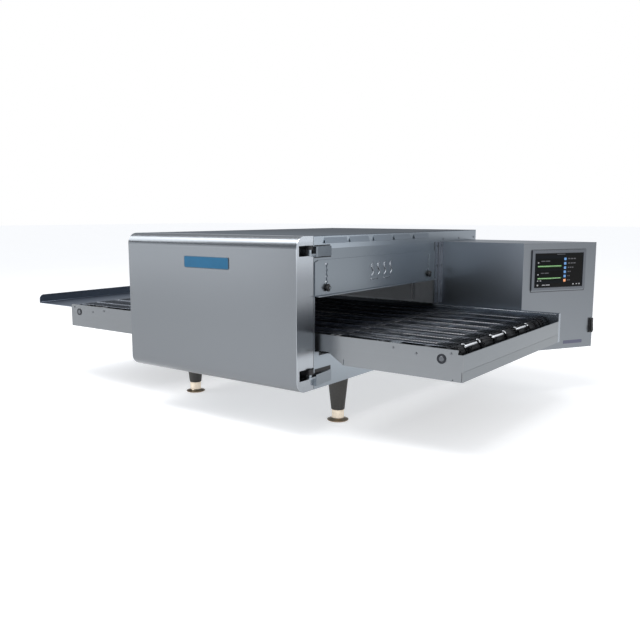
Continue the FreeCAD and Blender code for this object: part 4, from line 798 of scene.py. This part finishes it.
# Pressed mark on each baffle: three rising waves over a short bar.
for side, body in ((1, "baffle_right_body"), (-1, "baffle_left_body")):
    lo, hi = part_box("baffle_right" if side > 0 else "baffle_left")
    xf = P(side * 264, 0, 0).x
    # outer face of the sheet, clear of the lip at its lower edge
    sheet = [v.co.x for v in nodes["baffle_right" if side > 0 else "baffle_left"].data.vertices if 0.335 < v.co.z < 0.370]
    xf = max(sheet) if side > 0 else min(sheet)
    b_ = Build()
    for i, y in enumerate((-146, -118, -90, -62)):
        pts = []
        for k in range(19):
            t = k / 18
            z = 333 + 33 * t
            pts.append(Vector((xf - side * 0.0002, P(0, y + 6.0 * math.sin(2 * math.pi * t) * (1 if i % 2 == 0 else 1) + 8 * (t - 0.5), 0).y, z / 1000)))
        v, f = tube_rings([tuple(p) for p in pts], [0.0008 + 0.0014 * min(1, 4 * k / 18, 4 * (18 - k) / 18) for k in range(19)], 8, up=(1, 0, 0))
        b_.add(v, f)
    for ya, yb in ((-152, -122), (-96, -66)):
        pts = [Vector((xf - side * 0.0002, P(0, y, 0).y, 0.3255)) for y in np.linspace(ya, yb, 7)]
        v, f = tube_rings([tuple(p) for p in pts], 0.0014, 8, up=(1, 0, 0))
        b_.add(v, f)
    add_mesh("baffle_mark_" + ("right" if side > 0 else "left"), b_.verts(), b_.f, M["mark"], body, True, ())

# ------------------------------------------------------------------ small fittings
def plate(b_, x0, x1, y0, y1, z0, z1, e=0.3):
    """Small block in body millimetres with chamfered edges all round."""
    def loop8(x, g):
        ya, yb, za, zb = y0 + g, y1 - g, z0 + g, z1 - g
        return [(x, ya, za), (x, yb, za), (x, yb, zb), (x, ya, zb)]
    rings = [loop8(x0, e), loop8(x0 + e, 0), loop8(x1 - e, 0), loop8(x1, e)]
    v = [tuple(P(*q)) for r_ in rings for q in r_]
    f = []
    for i in range(3):
        for k in range(4):
            k2 = (k + 1) % 4
            f.append([i * 4 + k, i * 4 + k2, (i + 1) * 4 + k2, (i + 1) * 4 + k])
    f.append([3, 2, 1, 0])
    f.append([12, 13, 14, 15])
    b_.add(v, f)


# Dark strips in the gap between the door's edge and the body, right and left: painted shadow of the gap, in the gasket
# rubber.
b_ = Build()
plate(b_, 262.0, 264.12, -376.1, -375.0, 104.0, 430.0, 0.2)
plate(b_, -264.12, -262.0, -376.1, -375.0, 104.0, 430.0, 0.2)
add_mesh("door_gap_shadow_strips", b_.verts(), b_.f, M["rubber"], "root", False, ())

# Dark plates in the slots at the upper and lower edge of the hinge brackets: painted shadow.
b_ = Build()
for za, zb, ya, yb in ((136.6, 146.0, -372.0, -313.0), (410.2, 412.8, -373.0, -315.0), (385.6, 388.0, -373.0, -312.0)):
    plate(b_, 263.0, 264.22, ya, yb, za, zb, 0.15)
add_mesh("hinge_slot_shadow_plates", b_.verts(), b_.f, M["lug"], "root", False, ())

# Hem along the lower edge of each baffle.
for s, tag in ((1, "right"), (-1, "left")):
    node_ = nodes["baffle_" + tag]
    lo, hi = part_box("baffle_" + tag)
    xo = hi.x if s > 0 else lo.x
    zs_ = [v.co.z for v in node_.data.vertices]
    low = [v.co for v in node_.data.vertices if v.co.z < lo.z + 0.0006]
    xl = max(c.x for c in low) if s > 0 else min(c.x for c in low)
    b_ = Build()
    r_ = 0.0009
    v, f = lathe(
        [(0, 0.0003), (0.0006, r_), (hi.y - lo.y - 0.0046, r_), (hi.y - lo.y - 0.004, 0.0003)],
        (xl - s * r_, lo.y + 0.002, lo.z + r_), (0, 1, 0), 12,
    )
    b_.add(v, f)
    add_mesh("baffle_hem_" + tag, b_.verts(), b_.f, M["hem"], "baffle_" + tag + "_body", True, ())

# Knobs: a round hub with four lobes and a domed cap, on each baffle stud.
for name in ("knob_right_front", "knob_right_rear", "knob_left_front", "knob_left_rear"):
    lo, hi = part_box(name)
    s = 1 if "right" in name else -1
    yc, zc = (lo.y + hi.y) / 2, (lo.z + hi.z) / 2
    xi = lo.x if s > 0 else hi.x
    dep = hi.x - lo.x
    b_ = Build()
    outline = []
    for k in range(64):
        t = 2 * math.pi * k / 64
        outline.append((math.cos(t), math.sin(t), 0.0060 + 0.0022 * (0.5 + 0.5 * math.cos(4 * t)) ** 1.3))
    rings = ((0.0, 0.80), (0.0006, 0.86), (dep * 0.18, 0.88), (dep * 0.20, 1.0), (dep * 0.74, 1.0), (dep * 0.84, 0.93), (dep * 0.88, 0.60), (dep * 0.90, 0.34), (dep * 0.86, 0.20))
    v, f = [], []
    for h, g in rings:
        v += [(xi + s * h, yc + c * r_ * g, zc + sn * r_ * g) for c, sn, r_ in outline]
    for i in range(len(rings) - 1):
        for k in range(64):
            k2 = (k + 1) % 64
            f.append([i * 64 + k, i * 64 + k2, (i + 1) * 64 + k2, (i + 1) * 64 + k])
    f.append(list(range(64))[::-1])
    f.append([(len(rings) - 1) * 64 + k for k in range(64)])
    if s < 0:
        f = [q[::-1] for q in f]
    add_mesh(name + "_grip", v, f, M["plastic"], name + "_body", False, [name])

# Height marks on the panels, seen through the slots above each knob.
for s, tag in ((1, "right"), (-1, "left")):
    sheet = [v.co.x for v in nodes["baffle_" + tag].data.vertices if 0.335 < v.co.z < 0.370]
    xf = ((min(sheet) if s > 0 else max(sheet)) - OX) * 1000
    b_ = Build()
    for y in (-331.0, 134.0):
        for k in range(5):
            z = 331.5 + 9.6 * k
            xa, xb = (xf - 0.34, xf - 0.08) if s > 0 else (xf + 0.08, xf + 0.34)
            plate(b_, xa, xb, y - 3.4, y + 3.4, z, z + 3.4, 0.05)
    add_mesh("height_marks_" + tag, b_.verts(), b_.f, M["hem"], "root", False, ())

# Rolled upper edges of the rear rail and the fold of the landing tray.
b_ = Build()
v, f = lathe([(0, 0.0003), (0.0005, 0.0008), (0.3365, 0.0008), (0.337, 0.0003)], P(264.6, 171.6, 232.9), (1, 0, 0), 10)
b_.add(v, f)
add_mesh("rear_rail_hem", b_.verts(), b_.f, M["mark"], "root", True, ())
lo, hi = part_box("landing_tray")
b_ = Build()
v, f = lathe([(0, 0.0003), (0.0006, 0.0010), (hi.y - lo.y - 0.0046, 0.0010), (hi.y - lo.y - 0.004, 0.0003)], (lo.x + 0.0022, lo.y + 0.002, 0.2166), (0, 1, 0), 10)
b_.add(v, f)
add_mesh("tray_fold", b_.verts(), b_.f, M["tray"], "root", True, ())

# Dark strips painting the shadow in the seams beside the post and at the front rail's right-hand corner.
b_ = Build()
lo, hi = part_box("side_post_right")
px0, px1 = (lo.x - OX) * 1000, (hi.x - OX) * 1000
py0, pz0, pz1 = (lo.y - OY) * 1000, lo.z * 1000, hi.z * 1000
plate(b_, px0 + 0.1, px0 + 1.3, py0 - 0.25, py0 + 0.2, pz0 + 1, pz1 - 1, 0.08)
plate(b_, px1 - 1.0, px1 + 0.2, py0 - 0.25, py0 + 0.9, pz0 + 1, pz1 - 1, 0.08)
lo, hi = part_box("conveyor_rail_front")
rx, ry = (hi.x - OX) * 1000, (lo.y - OY) * 1000
plate(b_, rx - 2.4, rx - 1.2, ry - 0.15, ry + 0.1, 163.0, 181.0, 0.06)
add_mesh("post_seam_shadows", b_.verts(), b_.f, M["line"], "root", False, ())

lo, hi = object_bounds()
